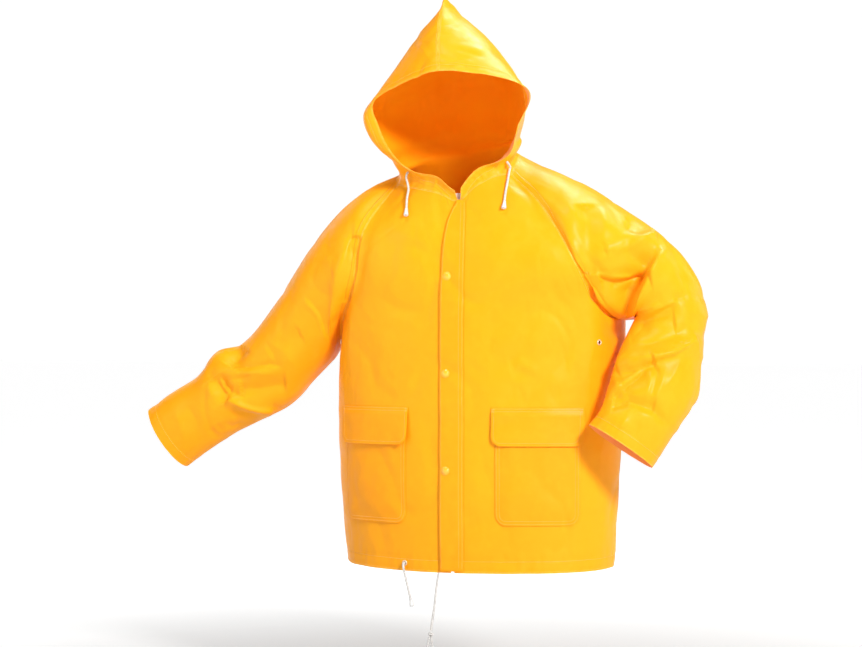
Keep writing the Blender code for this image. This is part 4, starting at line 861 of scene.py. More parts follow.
def membership(count, quads, ids):
    """Share of each panel round every point."""
    member = np.zeros((count, len(PANELS)))
    for k in range(4):
        np.add.at(member, (quads[:, k], ids), 1)
    return member / np.maximum(member.sum(axis=1), 1)[:, None]


# ---------------------------------------------------------------- folds and gathers
def ease(t):
    """Smooth step of numbers from 0 to 1."""
    t = np.clip(t, 0, 1)
    return t * t * (3 - 2 * t)


def beside(places, line, reach):
    """Indices of the places near a line, with their distance, share along it and side."""
    pts = np.array(line, dtype=float)
    near = ((places > pts.min(axis=0) - reach) & (places < pts.max(axis=0) + reach)).all(axis=1).nonzero()[0]
    p = places[near]
    spans = np.linalg.norm(np.diff(pts, axis=0), axis=1)
    total = spans.sum()
    best = np.full(len(near), 1e9)
    along = np.zeros(len(near))
    hand = np.zeros(len(near))
    gone = 0.0
    for k, span in enumerate(spans):
        run = (pts[k + 1] - pts[k]) / span
        t = np.clip((p - pts[k]) @ run, 0, span)
        off = p - (pts[k] + t[:, None] * run)
        gap = np.linalg.norm(off, axis=1)
        closer = gap < best
        best[closer] = gap[closer]
        along[closer] = (gone + t[closer]) / total
        hand[closer] = np.sign(run[0] * off[closer, 1] - run[1] * off[closer, 0])
        gone += span
    return near, best, along, hand


def crease(places, line, width, lean, power=1.25, ends=0.36):
    """Indices of the places near a line, and their weight: full on it, fading to flanks and ends."""
    near, gap, along, hand = beside(places, line, 3.2 * width)
    fade = 0.15 + 0.85 * ease(np.minimum(along, 1 - along) / ends)
    flank = width * (1 + lean * hand)
    return near, np.exp(-((gap / flank) ** power)) * fade


def overlap(places, line, rise, run, side):
    """Indices of the places near a fold's edge, and their drop behind it on one side."""
    near, gap, along, hand = beside(places, line, 3.0 * run)
    fade = ease(np.minimum(along, 1 - along) / 0.22)
    low = ease(gap / rise) * np.exp(-((gap / run) ** 1.2))
    lip = -0.22 * np.exp(-((gap / (0.5 * run)) ** 1.4))
    return near, np.where(hand * side > 0, lip + (low - lip) * ease(gap / rise), lip) * fade


SLEEVE_DEPTH = 1.6       # the creases of the sleeves are this many times as deep as listed
OTHER_DEPTH = 1.2        # the same for the creases of the other panels


def fold_shift(points, normals, member):
    """Distance each point moves along its normal for the folds."""
    shift = np.zeros(len(points))
    toward = np.array((math.sin(DRAW_TURN), -math.cos(DRAW_TURN), 0.0))
    turn = normals @ toward

    def press(found, depth, share):
        near, weight = found
        shift[near] -= depth * 0.001 * weight * share[near]

    def toward_side(value, low=0.05):
        return np.clip((value - low) / 0.4, 0, 1)

    facing = toward_side(turn)[:, None] * member
    away = toward_side(-turn)[:, None] * member
    places = drawn(points)
    for a0, a1, b0, b1, width, depth, panel in FOLDS:
        press(crease(places, ((a0, a1), (b0, b1)), width, 0.0, 2.0, 0.01), depth, facing[:, panel])
    for panel, rows in CREASES.items():
        grow = SLEEVE_DEPTH if panel in (SLEEVE_R, SLEEVE_L) else OTHER_DEPTH
        for line, width, depth, lean in rows:
            press(crease(places, line, width, lean), depth * grow, facing[:, panel])
    for panel, rows in OVERLAPS.items():
        for line, rise, run, depth, side in rows:
            press(overlap(places, line, rise, run, side), depth, facing[:, panel])
    for panel, rows in INNER_CREASES.items():
        for line, width, depth, lean in rows:
            press(crease(places, line, width, lean), -depth, away[:, panel])
    behind = toward_side(normals[:, 1])
    places = points[:, [0, 2]]
    for a0, a1, b0, b1, width, depth in BACK_FOLDS:
        press(crease(places, ((a0, a1), (b0, b1)), width * 0.001, 0.0, 2.0, 0.01), depth, behind)
    for line, width, depth, lean in BACK_CREASES:
        press(crease(places, line, width * 0.001, lean), depth, behind)
    places = points[:, [1, 2]]
    for side, line, width, depth, lean in SIDE_CREASES:
        aside = toward_side(side * normals[:, 0], 0.15) * (side * points[:, 0] > 0.2)
        press(crease(places, line, width * 0.001, lean), depth, aside)
    return shift


def ripple(points, member):
    """Small uneven waves of the whole cloth, with longer ones on the sleeves."""
    arms = member[:, SLEEVE_R] + member[:, SLEEVE_L]

    def waves(places):
        return np.array([noise.noise(Vector(p)) for p in places])

    soft = waves(points * np.array((8.0, 8.0, 5.0)))
    bent = points + soft[:, None] * np.array((0.030, 0.020, 0.045))
    ridge = np.minimum(abs(waves(bent * np.array((11.0, 11.0, 7.5)) + 3.1)), 0.22) - 0.16
    small = np.minimum(abs(waves(bent * np.array((27.0, 27.0, 21.0)) + 7.3)), 0.20) - 0.14
    soft *= 0.0013 + 0.0014 * arms
    return soft + ridge * (0.0090 - 0.0030 * arms) + small * (0.0022 - 0.0010 * arms)


# ---------------------------------------------------------------- seams and borders
def border_edges(points, quads, ids):
    """Edges between panels and open edges: {(panel, panel or -1): [(a, b)]}."""
    ends = np.concatenate([quads[:, [k, (k + 1) % 4]] for k in range(4)])
    face = np.tile(np.arange(len(quads)), 4)
    key = ends.min(axis=1) * len(points) + ends.max(axis=1)
    order = np.argsort(key, kind="stable")
    key = key[order]
    first = np.nonzero(np.r_[True, key[1:] != key[:-1]])[0]
    count = np.diff(np.r_[first, len(key)])
    groups = {}
    for i in first[count == 1]:
        a, b = ends[order[i]]
        groups.setdefault((int(ids[face[order[i]]]), -1), []).append((int(a), int(b)))
    twice = first[count == 2]
    one = ids[face[order[twice]]]
    two = ids[face[order[twice + 1]]]
    for i, p, q in zip(twice[one != two], one[one != two], two[one != two]):
        a, b = ends[order[i]]
        groups.setdefault((int(min(p, q)), int(max(p, q))), []).append((int(a), int(b)))
    return groups


def chains(edges):
    """Edges joined to lines of point numbers."""
    beside = {}
    for a, b in edges:
        beside.setdefault(a, []).append(b)
        beside.setdefault(b, []).append(a)
    left = {tuple(sorted(e)) for e in edges}
    lines = []
    starts = [v for v in beside if len(beside[v]) != 2] + list(beside)
    for start in starts:
        while True:
            line = [start]
            while True:
                ways = [w for w in beside[line[-1]] if tuple(sorted((line[-1], w))) in left]
                if not ways:
                    break
                left.discard(tuple(sorted((line[-1], ways[0]))))
                line.append(ways[0])
                if len(beside[ways[0]]) != 2:
                    break
            if len(line) < 2:
                break
            lines.append(line)
    return lines


def far_from(points, lines, candidates):
    """Distance of the candidate points from some lines of points, and the place along them."""
    spots = []
    places = []
    gone = 0.0
    for line in lines:
        co = points[line]
        for k in range(len(co) - 1):
            span = float(np.linalg.norm(co[k + 1] - co[k]))
            for f in (0.0, 0.25, 0.5, 0.75):
                spots.append(co[k] + (co[k + 1] - co[k]) * f)
                places.append(gone + span * f)
            gone += span
        spots.append(co[-1])
        places.append(gone)
        gone += 0.5
    tree = KDTree(len(spots))
    for i, p in enumerate(spots):
        tree.insert(p, i)
    tree.balance()
    gap = np.full(len(points), 1.0)
    along = np.zeros(len(points))
    for i in candidates:
        index, gap[i] = tree.find(points[i])[1:]
        along[i] = places[index]
    return gap, along


def border_lines(points, groups):
    """Lines of points by kind of border."""
    kinds = {"seam": [], "hem": [], "cuff": [], "mouth": []}
    for (p, q), edges in groups.items():
        if q >= 0:
            if (p, q) != (FRONT_R, FRONT_L):
                kinds["seam"] += chains(edges)
        elif p in (SLEEVE_R, SLEEVE_L):
            kinds["cuff"] += chains(edges)
        elif p in (HOOD_R, HOOD_L):
            kinds["mouth"] += chains(edges)
        else:
            kinds["hem"] += chains([e for e in edges if points[e[0]][2] < -0.6])
    return kinds


def gather_shift(gaps, alongs):
    """Puckers beside the stitching of hem, cuffs and face opening."""
    shift = 0.0
    for kind, (depth, spacing, place, reach) in GATHERS.items():
        gap, along = gaps[kind], alongs[kind]
        wave = np.zeros(len(gap))
        for i in np.nonzero(gap < place + 3 * reach)[0]:
            t = along[i] / spacing
            wave[i] = noise.noise(Vector((t, 3.1, 0.0))) * 1.3 + 0.5 * noise.noise(Vector((t * 2.3, 9.0, 0)))
        fade = np.exp(-(((gap - place) / reach) ** 2))
        shift = shift + depth * wave * fade
        shift = shift - 0.0008 * np.exp(-(((gap - CASING[kind]) / 0.004) ** 2))
    return shift


# ---------------------------------------------------------------- meshes
def tri_tree(surf, mine):
    """Search tree of the chosen quads of the surface."""
    q = surf["quads"][mine]
    used, inverse = np.unique(np.concatenate((q[:, [0, 1, 2]], q[:, [0, 2, 3]])), return_inverse=True)
    tris = [tuple(int(v) for v in t) for t in inverse.reshape(-1, 3)]
    return BVHTree.FromPolygons([Vector(p) for p in surf["points"][used]], tris)


def border_ring(rows, cols):
    """Point numbers round the border of a grid."""
    ring = list(range(cols)) + [j * cols + cols - 1 for j in range(1, rows)]
    ring += [(rows - 1) * cols + i for i in range(cols - 2, -1, -1)]
    return ring + [j * cols for j in range(rows - 2, 0, -1)]


def closed_faces(rows, cols):
    """Faces of a closed sheet of two grids of points: upper, lower and the wall round them."""
    count = rows * cols
    starts = [j * cols + i for j in range(rows - 1) for i in range(cols - 1)]
    faces = [(a, a + 1, a + cols + 1, a + cols) for a in starts]
    faces += [tuple(count + v for v in reversed(face)) for face in faces]
    ring = border_ring(rows, cols)
    return faces + [(b, a, count + a, count + b) for a, b in zip(ring, ring[1:] + ring[:1])]


def mesh_object(name, points, faces, mats, numbers=None, soft=True):
    """Mesh object in the scene with its materials."""
    mesh = bpy.data.meshes.new(name)
    mesh.from_pydata([tuple(p) for p in points], [], [tuple(int(v) for v in f) for f in faces])
    for mat in mats:
        mesh.materials.append(mat)
    if numbers is not None:
        mesh.polygons.foreach_set("material_index", numbers)
    mesh.polygons.foreach_set("use_smooth", [soft] * len(mesh.polygons))
    ob = bpy.data.objects.new(name, mesh)
    bpy.context.scene.collection.objects.link(ob)
    return ob


def part_edges(mesh, first, last):
    """Mark as sharp the edges where the faces numbered first to last meet the others."""
    wall = {}
    for number in range(first, last):
        for key in mesh.polygons[number].edge_keys:
            wall[key] = wall.get(key, 0) + 1
    for edge in mesh.edges:
        if wall.get(tuple(sorted(edge.vertices)), 0) == 1:
            edge.use_edge_sharp = True


def panel_object(number, surf, mats):
    """One panel as a thin shell of an outer and an inner layer."""
    mine = surf["ids"] == number
    q = surf["quads"][mine]
    used, inverse = np.unique(q, return_inverse=True)
    q = inverse.reshape(-1, 4)
    outer = surf["points"][used].copy()
    side = -1 if number in (FRONT_R, HOOD_R) else 1
    if number in (FRONT_R, FRONT_L, HOOD_R, HOOD_L):
        near = (np.abs(outer[:, 0]) < FRONT_EDGE) & (outer[:, 1] < 0)
        near &= outer[:, 2] < (-0.012 if number in (HOOD_R, HOOD_L) else 0.0)
        x = side * outer[near, 0]
        outer[near, 0] = side * (ZIP_HALF_GAP + x * (FRONT_EDGE - ZIP_HALF_GAP) / FRONT_EDGE)
    inner = outer - surf["normals"][used] * CLOTH
    n = len(used)
    faces = [tuple(f) for f in q] + [tuple(n + f[::-1]) for f in q]
    edges = {}
    for f in q.tolist():
        for a, b in zip(f, f[1:] + f[:1]):
            edges.setdefault((min(a, b), max(a, b)), []).append((a, b))
    rim = [e[0] for e in edges.values() if len(e) == 1]
    faces += [(b, a, n + a, n + b) for a, b in rim]
    numbers = [0] * len(q) + [1] * len(q) + [0] * len(rim)
    ob = mesh_object(PANELS[number], np.concatenate((outer, inner)), faces, mats, numbers)
    mesh = ob.data
    uv = surf["uv"][mine]
    flat = np.concatenate((uv.reshape(-1, 2), uv[:, ::-1].reshape(-1, 2), np.zeros((4 * len(rim), 2))))
    mesh.uv_layers.new(name="cloth").data.foreach_set("uv", flat.astype(np.float32).ravel())
    for key in ("seam", "hem", "lap"):
        layer = mesh.attributes.new(key, "FLOAT", "POINT")
        values = surf[key][number][used] if key == "lap" else surf[key][used]
        layer.data.foreach_set("value", np.concatenate((values, values)).astype(np.float32))
    part_edges(mesh, 2 * len(q), 2 * len(q) + len(rim))
    return laid("cloth", PANELS[number], ob)


# ---------------------------------------------------------------- pieces laid on the front
class Ground:
    """Finds the outer surface of some panels."""

    def __init__(self, surf, wanted):
        self.tree = tri_tree(surf, np.isin(surf["ids"], wanted))

    def at(self, x, z):
        """Point and unit normal of the front surface at x and z."""
        hit, normal = self.tree.ray_cast(Vector((x, -1.0, z)), Vector((0, 1, 0)))[:2]
        if hit is None:
            hit, normal = self.tree.find_nearest(Vector((x, -0.15, z)))[:2]
        if normal.y > 0:
            normal = -normal
        return np.array(hit), np.array(normal)

    def seen(self, u, v):
        """Point and outward normal of the surface seen at a place on the front drawing."""
        right = Vector((math.cos(DRAW_TURN), math.sin(DRAW_TURN), 0.0))
        toward = Vector((math.sin(DRAW_TURN), -math.cos(DRAW_TURN), 0.0))
        eye = right * -DRAW_SIDE + toward * DRAW_FAR + Vector((0, 0, -DRAW_RISE))
        flat = right * ((u - DRAW_MIDDLE[0]) * DRAW_UNIT - DRAW_SIDE)
        flat.z = -DRAW_RISE - (v - DRAW_MIDDLE[1]) * DRAW_UNIT
        way = (flat - eye).normalized()
        hit, normal = self.tree.ray_cast(eye, way)[:2]
        if normal.dot(way) > 0:
            normal = -normal
        return np.array(hit), np.array(normal)

    def soft(self, x, z, reach=EVEN_REACH):
        """Like at, with place and normal evened over the near surface."""
        p, n = self.at(x, z)
        total = n.copy()
        for dx, dz in ((reach, 0), (-reach, 0), (0, reach), (0, -reach)):
            total += self.at(x + dx, z + dz)[1]
        return p, unit(total)

    def row(self, side, z):
        """Distances along the cloth from the centre front, and their x."""
        xs = [0.0]
        gone = [0.0]
        last = self.at(0.0, z)[0]
        while abs(xs[-1]) < ROW_END:
            x = xs[-1] + side * ROW_STEP
            here = self.at(x, z)[0]
            gone.append(gone[-1] + float(np.linalg.norm(here - last)))
            xs.append(x)
            last = here
        return gone, xs


def slab(name, grid, lift, wall, mats, coords, edge=0.0006):
    """Closed sheet from a grid of (point, normal) pairs, lifted, with rounded borders."""
    rows, cols = len(grid), len(grid[0])
    upper, lower = [], []
    for j in range(rows):
        for i in range(cols):
            p, n = grid[j][i]
            border = j in (0, rows - 1) or i in (0, cols - 1)
            upper.append(p + n * (lift(j, i) + wall - (edge if border else 0.0)))
            lower.append(p + n * lift(j, i))
    points = upper + lower
    faces = closed_faces(rows, cols)
    way = np.cross(points[1] - points[0], points[cols] - points[0])
    if np.dot(way, grid[0][0][1]) < 0:
        faces = [f[::-1] for f in faces]
    ob = mesh_object(name, points, faces, mats)
    part_edges(ob.data, 2 * (rows - 1) * (cols - 1), len(faces))
    n = rows * cols
    flat = [coords[v % n // cols][v % n % cols] for f in faces for v in f]
    ob.data.uv_layers.new(name="cloth").data.foreach_set("uv", np.array(flat, dtype=np.float32).ravel())
    return ob


def corner_inset(depth, radius):
    """How far a rounded corner draws the side in, at a depth from the end."""
    if depth >= radius:
        return 0.0
    return radius - math.sqrt(max(radius ** 2 - (radius - depth) ** 2, 0.0))


def edge_steps(count):
    """Shares from 0 to 1 with a narrow first and last step."""
    return [0.0] + list(np.linspace(0.006, 0.994, count)) + [1.0]


def patch_grid(ground, side, start, width, top, low, radius, cols, rows):
    """Grid of a pocket piece with rounded lower corners, and its cloth coordinates."""
    heights = [top] + list(np.linspace(top - 0.0012, low + radius, rows))
    heights += [low + radius * f for f in (0.82, 0.62, 0.42, 0.24, 0.10, 0.03)] + [low]
    grid = []
    coords = []
    for z in heights:
        inset = corner_inset(z - low, radius) * 0.985
        gone, xs = ground.row(side, z)
        line = []
        place = []
        for f in edge_steps(cols):
            s = start + inset + (width - 2 * inset) * f
            line.append(ground.soft(float(np.interp(s, gone, xs)), z))
            place.append((s, z))
        grid.append(line)
        coords.append(place)
    return grid, coords, heights


def laid(kind, node, ob):
    """A finished piece rides on the jacket and stands for its solid."""
    ob.name = node + "_" + kind
    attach(ob, "root")
    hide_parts(node)
    return ob


def groove(place, line, depth, half=0.0016):
    """Depth of the groove that a stitch line presses into a sheet."""
    return depth * math.exp(-(((place - line) / half) ** 2))


def add_pockets(ground, mats):
    """Patch pockets and their flaps."""
    made = {}
    for side, start, tag in POCKETS:
        wide = POCKET_WIDTH - 2 * BAG_INSET
        grid, coords, heights = patch_grid(
            ground, side, start + BAG_INSET, wide, BAG_TOP, BAG_BOTTOM, BAG_CORNER, 40, 40
        )

        def bag_lift(j, i):
            s = coords[j][i][0]
            inner = min(s - start - BAG_INSET, start + BAG_INSET + wide - s, heights[j] - BAG_BOTTOM)
            swell = 0.0026 * float(ease(inner / 0.035))
            sewn = groove(inner, STITCH_IN[0], 0.0005) + groove(inner, STITCH_IN[1], 0.0004)
            wave = noise.noise(Vector((s * 22, heights[j] * 16, side * 4.0)))
            return LAY_GAP * 0.6 + swell - sewn + 0.0009 * wave * float(ease(inner / 0.02))

        ob = slab("pocket_bag_" + tag, grid, bag_lift, BAG_CLOTH, mats, coords)
        made["pocket_bag_" + tag] = laid("cloth", "pocket_bag_" + tag, ob)
        grid, coords, heights = patch_grid(
            ground, side, start, POCKET_WIDTH, FLAP_TOP, FLAP_BOTTOM, FLAP_CORNER, 44, 16
        )

        def flap_lift(j, i):
            down = (FLAP_TOP - heights[j]) / (FLAP_TOP - FLAP_BOTTOM)
            s = coords[j][i][0] - start
            curl = 1.0 + (1.5 * math.exp(-((s / 0.02) ** 2)) if side < 0 else 0.0)
            wave = 0.0008 * noise.noise(Vector((s * 30, 2.0 * side, down * 1.5))) * down
            inner = min(s, POCKET_WIDTH - s, heights[j] - FLAP_BOTTOM)
            sewn = groove(inner, FLAP_STITCH_IN, 0.0004)
            sewn += groove(FLAP_TOP - heights[j], FLAP_STITCH_IN, 0.0006, 0.002)
            return 0.0006 + 0.0030 * min(1.0, down * 5) + 0.0034 * down ** 2 * curl + wave - sewn

        ob = slab("pocket_flap_" + tag, grid, flap_lift, FLAP_CLOTH, mats, coords)
        made["pocket_flap_" + tag] = laid("cloth", "pocket_flap_" + tag, ob)
    return made


def add_storm_flap(ground, mats):
    """Strip over the centre front, sewn along its left edge."""
    top, low = STORM_FLAP[0][0], STORM_FLAP[-1][0]
    heights = [top, top - 0.0008] + list(np.linspace(top - 0.004, low + 0.0012, 170)) + [low]
    grid = []
    coords = []
    for z in heights:
        free, sewn = table_at(STORM_FLAP, z)
        line = []
        place = []
        for f in edge_steps(12):
            x = free + (sewn - free) * f
            line.append(ground.soft(x, z))
            place.append((x, z))
        grid.append(line)
        coords.append(place)

    def lift(j, i):
        f = edge_steps(12)[i]
        z = heights[j]
        free = 1 - f
        wave = 0.0011 * noise.noise(Vector((0.3, 5.0, z * 16))) * free ** 1.5
        held = math.exp(-((min(abs(z - s) for s in SNAP_HEIGHTS) / 0.020) ** 2))
        sewn = groove(f, 0.86, 0.0005, 0.05)
        return LAY_GAP + 0.0016 * free ** 1.5 * (1 - 0.5 * held) + wave * (1 - held) - sewn

    return laid("cloth", "storm_flap", slab("storm_flap", grid, lift, FLAP_CLOTH, mats, coords))


def turned(name, profile, centre, axis, steps, mats, hole=False):
    """Turn a (radius, height) profile round an axis through a centre."""
    axis = unit(np.array(axis, dtype=float))
    side = np.cross(axis, np.array((0.0, 0.0, 1.0)))
    if np.linalg.norm(side) < 0.2:
        side = np.cross(axis, np.array((1.0, 0.0, 0.0)))
    side = unit(side)
    other = np.cross(axis, side)
    points = []
    faces = []
    rings = []
    for radius, height in profile:
        if radius < 1e-6:
            rings.append([len(points)])
            points.append(np.array(centre) + axis * height)
            continue
        ring = []
        for k in range(steps):
            a = 2 * math.pi * k / steps
            ring.append(len(points))
            spoke = side * math.cos(a) + other * math.sin(a)
            points.append(np.array(centre) + axis * height + spoke * radius)
        rings.append(ring)
    pairs = list(zip(rings, rings[1:]))
    if hole:
        pairs.append((rings[-1], rings[0]))
    for a, b in pairs:
        for k in range(steps):
            m = (k + 1) % steps
            if len(a) == 1:
                faces.append((a[0], b[m], b[k]))
            elif len(b) == 1:
                faces.append((a[k], a[m], b[0]))
            else:
                faces.append((a[k], a[m], b[m], b[k]))
    return mesh_object(name, points, faces, mats)


def add_snaps(ground, mats):
    """Press-stud caps down the storm flap."""
    for k, z in enumerate(SNAP_HEIGHTS):
        p, n = ground.soft(SNAP_X, z)
        r = SNAP_RADIUS
        profile = (
            (0, 0), (r * 0.95, 0), (r, 0.0004), (r, 0.0009), (r * 0.95, 0.0014), (r * 0.86, 0.0015),
            (r * 0.82, 0.0013), (r * 0.78, 0.0017), (r * 0.66, 0.0026), (r * 0.46, 0.0032),
            (r * 0.22, 0.0035), (0, 0.0036),
        )
        ob = turned("cap", profile, p + n * (LAY_GAP + 0.0018), n, ROUND_STEPS, mats)
        laid("cap", "snap_%d" % (k + 1), ob)


def add_eyelet(name, centre, normal, ring_mats, shade_disc_mats):
    """Rolled metal ring with a dark disc in its centre, painted shade of the hole."""
    mid = (EYELET_INNER + EYELET_OUTER) / 2
    half = (EYELET_OUTER - EYELET_INNER) / 2
    profile = [
        (mid + half * math.cos(a), 0.0003 + 0.0012 * max(math.sin(a), -0.2))
        for a in [2 * math.pi * k / 12 for k in range(12)]
    ]
    ring = turned("ring", profile, centre + normal * 0.0005, normal, ROUND_STEPS, ring_mats, hole=True)
    laid("ring", name, ring)
    # Dark disc over the cloth inside the ring: painted shade in place of the hole.
    disc = ((0, 0.0003), (EYELET_INNER * 1.15, 0.0003))
    hole = turned(name + "_hole", disc, centre + normal * 0.0004, normal, SHADE_DISC_STEPS, shade_disc_mats)
    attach(hole, "root")


# ---------------------------------------------------------------- cords
def frames(line):
    """Two side directions at each point of a line, without twist."""
    pts = np.array(line)
    ways = np.gradient(pts, axis=0)
    ways /= np.linalg.norm(ways, axis=1)[:, None]
    side = np.cross(ways[0], (0.3, 1.0, 0.1))
    out = []
    for way in ways:
        side = unit(side - way * np.dot(side, way))
        out.append((side, np.cross(way, side)))
    return out


def resample(line, step):
    """Line with even steps."""
    pts = np.array(line)
    gone = along_path(pts)
    count = max(3, int(round(gone[-1] / step)) + 1)
    marks = np.linspace(0, gone[-1], count)
    return np.stack([np.interp(marks, gone, pts[:, k]) for k in range(3)], axis=1), float(gone[-1])


def braid(name, line, diameter, mats, steps=20):
    """Braided cord along a line; gives the object, its path and its length."""
    path, length = resample(spline(line, 12), BRAID_STEP)
    sides = frames(path)
    points = []
    faces = []
    for j, p in enumerate(path):
        turn = 2 * math.pi * j * BRAID_STEP / BRAID_PITCH
        for k in range(steps):
            a = 2 * math.pi * k / steps
            bump = math.sin(4 * a + turn) * math.sin(4 * a - turn)
            r = diameter / 2 * (0.955 + 0.075 * bump)
            points.append(p + (sides[j][0] * math.cos(a) + sides[j][1] * math.sin(a)) * r)
    for j in range(len(path) - 1):
        for k in range(steps):
            m = (k + 1) % steps
            faces.append((j * steps + k, j * steps + m, (j + 1) * steps + m, (j + 1) * steps + k))
    faces.append(tuple(reversed(range(steps))))
    faces.append(tuple((len(path) - 1) * steps + k for k in range(steps)))
    ob = mesh_object(name, points, faces, mats)
    return ob, path, length


def add_tip(name, end, before, mats):
    """Bell-shaped moulded end with shallow rings."""
    way = unit(np.array(end) - np.array(before))
    r, n = TIP_RADIUS, TIP_LENGTH
    profile = (
        (0, 0), (r * 0.56, 0), (r * 0.64, n * 0.03), (r * 0.64, n * 0.18), (r * 0.60, n * 0.20),
        (r * 0.60, n * 0.24), (r * 0.68, n * 0.27), (r * 0.74, n * 0.42), (r * 0.88, n * 0.60),
        (r * 0.97, n * 0.76), (r, n * 0.90), (r * 0.95, n * 0.97), (r * 0.82, n), (r * 0.5, n * 0.97),
        (0, n * 0.96),
    )
    ob = turned(name, profile, np.array(end) - way * 0.0006, way, TIP_STEPS, mats)
    return laid("bell", name, ob)


def add_knot(name, end, before, diameter, mats):
    """Overhand knot: a cord wound round itself."""
    way = unit(np.array(end) - np.array(before))
    side = unit(np.cross(way, (0.0, 1.0, 0.0)))
    other = np.cross(way, side)
    line = []
    for k in range(61):
        t = k / 60
        a = 2 * math.pi * 2.0 * t + 0.6
        r = KNOT_RADIUS * math.sin(math.pi * min(max(t, 0.03), 0.97)) ** 0.4
        rise = 0.0020 + 0.0108 * t + 0.0016 * math.sin(a * 0.5)
        line.append(np.array(end) + way * rise + (side * math.cos(a) + other * math.sin(a)) * r)
    ob = laid("wound", name, braid(name, line[::5] + [line[-1]], diameter, mats)[0])
    return ob, np.array(end) + way * KNOT_LONG, way


def moved(line, start):
    """Points of a table moved to their start."""
    return [np.array(p) + start for p in line]


def declare(ob, path, length, with_pieces):
    """Read the path of a free cord end; nothing is kept of it."""
    tuple(path[0])
    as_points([tuple(p) for p in path[::4]] + [tuple(path[-1])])


def tipped_cord(name, tip_name, line, diameter, mats, tip_mats):
    """Free end of a cord with its bell tip."""
    ob, path, length = braid(name, line, diameter, mats)
    laid("braid", name, ob)
    declare(ob, path, length, [add_tip(tip_name, path[-1], path[-4], tip_mats)])


def add_cords(near, hood_near, look):
    """Free ends of the hood cord and of the hem cord."""
    mats, tip_mats = look["cord_braid"], look["cord_tip"]
    for tag, line in (("right", HOOD_CORD_RIGHT), ("left", HOOD_CORD_LEFT)):
        spots = []
        for u, v, over in line:
            p, n = hood_near.seen(u, v)
            spots.append(p + n * over)
        tipped_cord("hood_cord_" + tag, "hood_cord_tip_" + tag, spots, HOOD_CORD_D, mats, tip_mats)
    p, n = near.soft(*HEM_EXIT_RIGHT)
    add_eyelet("hem_eyelet", p, n, look["eyelet_ring"], look["eyelet_painted_shade"])
    line = [p + n * (0.0006 + out) + np.array((aside, 0.0, up)) for aside, out, up in HEM_CORD_RIGHT]
    tipped_cord("hem_cord_right", "hem_cord_tip_right", line, HEM_CORD_D, mats, tip_mats)
    x, z = HEM_EXIT_LEFT
    line = moved(HEM_CORD_LEFT, np.array((x, near.at(x, z + 0.004)[0][1] + WALL / 2, z)))
    ob, path, length = braid("hem_cord_left", line, HEM_CORD_D, mats)
    laid("braid", "hem_cord_left", ob)
    knot, low, way = add_knot("hem_cord_knot", path[-1], path[-4], HEM_CORD_D * 0.86, mats)
    with_pieces = [knot]
    across = unit(np.cross(way, (0.0, 1.0, 0.0)))
    for tag, rows, side in (("a", TAIL_A, -1), ("b", TAIL_B, 1)):
        aside = across * (TAIL_D / 2 + 0.0002) * side
        tail = braid("tail", moved(rows, low - way * 0.002 + aside), TAIL_D, mats)[0]
        with_pieces.append(laid("braid", "hem_cord_tail_" + tag, tail))
    declare(ob, path, length, with_pieces)


# ---------------------------------------------------------------- zip
def add_zip(near, tape_mats, tooth_mats):
    """Tape behind the fronts and the closed coil in the gap between them."""
    heights = list(np.linspace(-0.0200, -0.2000, 60)) + list(np.linspace(-0.2030, ZIP_BOTTOM, 60))

    def level(x, z):
        p, n = near.at(0.0, min(z, ZIP_SHOWS))
        y = p[1] + (WALL + 0.0016) / abs(n[1])
        y += min(max(z - ZIP_SHOWS + 0.009, 0.0) * 0.3, 0.0034)
        y += 0.0012 * min(max((z + 0.100) / 0.030, 0.0), 1.0)
        return y + max(0.0, near.at(x, min(z, ZIP_SHOWS))[0][1] - p[1])

    points = []
    for layer in (0.0, ZIP_TAPE):
        for z in heights:
            for x in (ZIP_HALF_TAPE * (2 * i / (ZIP_COLS - 1) - 1) for i in range(ZIP_COLS)):
                points.append((x, level(x, z) + layer, z))
    faces = [f[::-1] for f in closed_faces(len(heights), ZIP_COLS)]
    laid("tape", "zip", mesh_object("zip", points, faces, tape_mats, soft=False))
    points = []
    faces = []
    z = -0.0215
    side = -1
    while z > ZIP_BOTTOM + 0.004:
        y = level(0.0, z) - 0.0011
        start = len(points)
        for dx, w in TOOTH:
            for t in (2 * math.pi * a / TOOTH_SIDES for a in range(TOOTH_SIDES)):
                points.append((side * dx, y + 0.0008 * w * math.sin(t), z + 0.00062 * w * math.cos(t)))
        for j in range(start, len(points) - TOOTH_SIDES, TOOTH_SIDES):
            for a in range(TOOTH_SIDES):
                b = (a + 1) % TOOTH_SIDES
                face = (j + a, j + b, j + TOOTH_SIDES + b, j + TOOTH_SIDES + a)
                faces.append(face if side > 0 else face[::-1])
        z -= TOOTH_PITCH
        side = -side
    coil = mesh_object("zip_coil", points, faces, tooth_mats)
    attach(coil, "root")


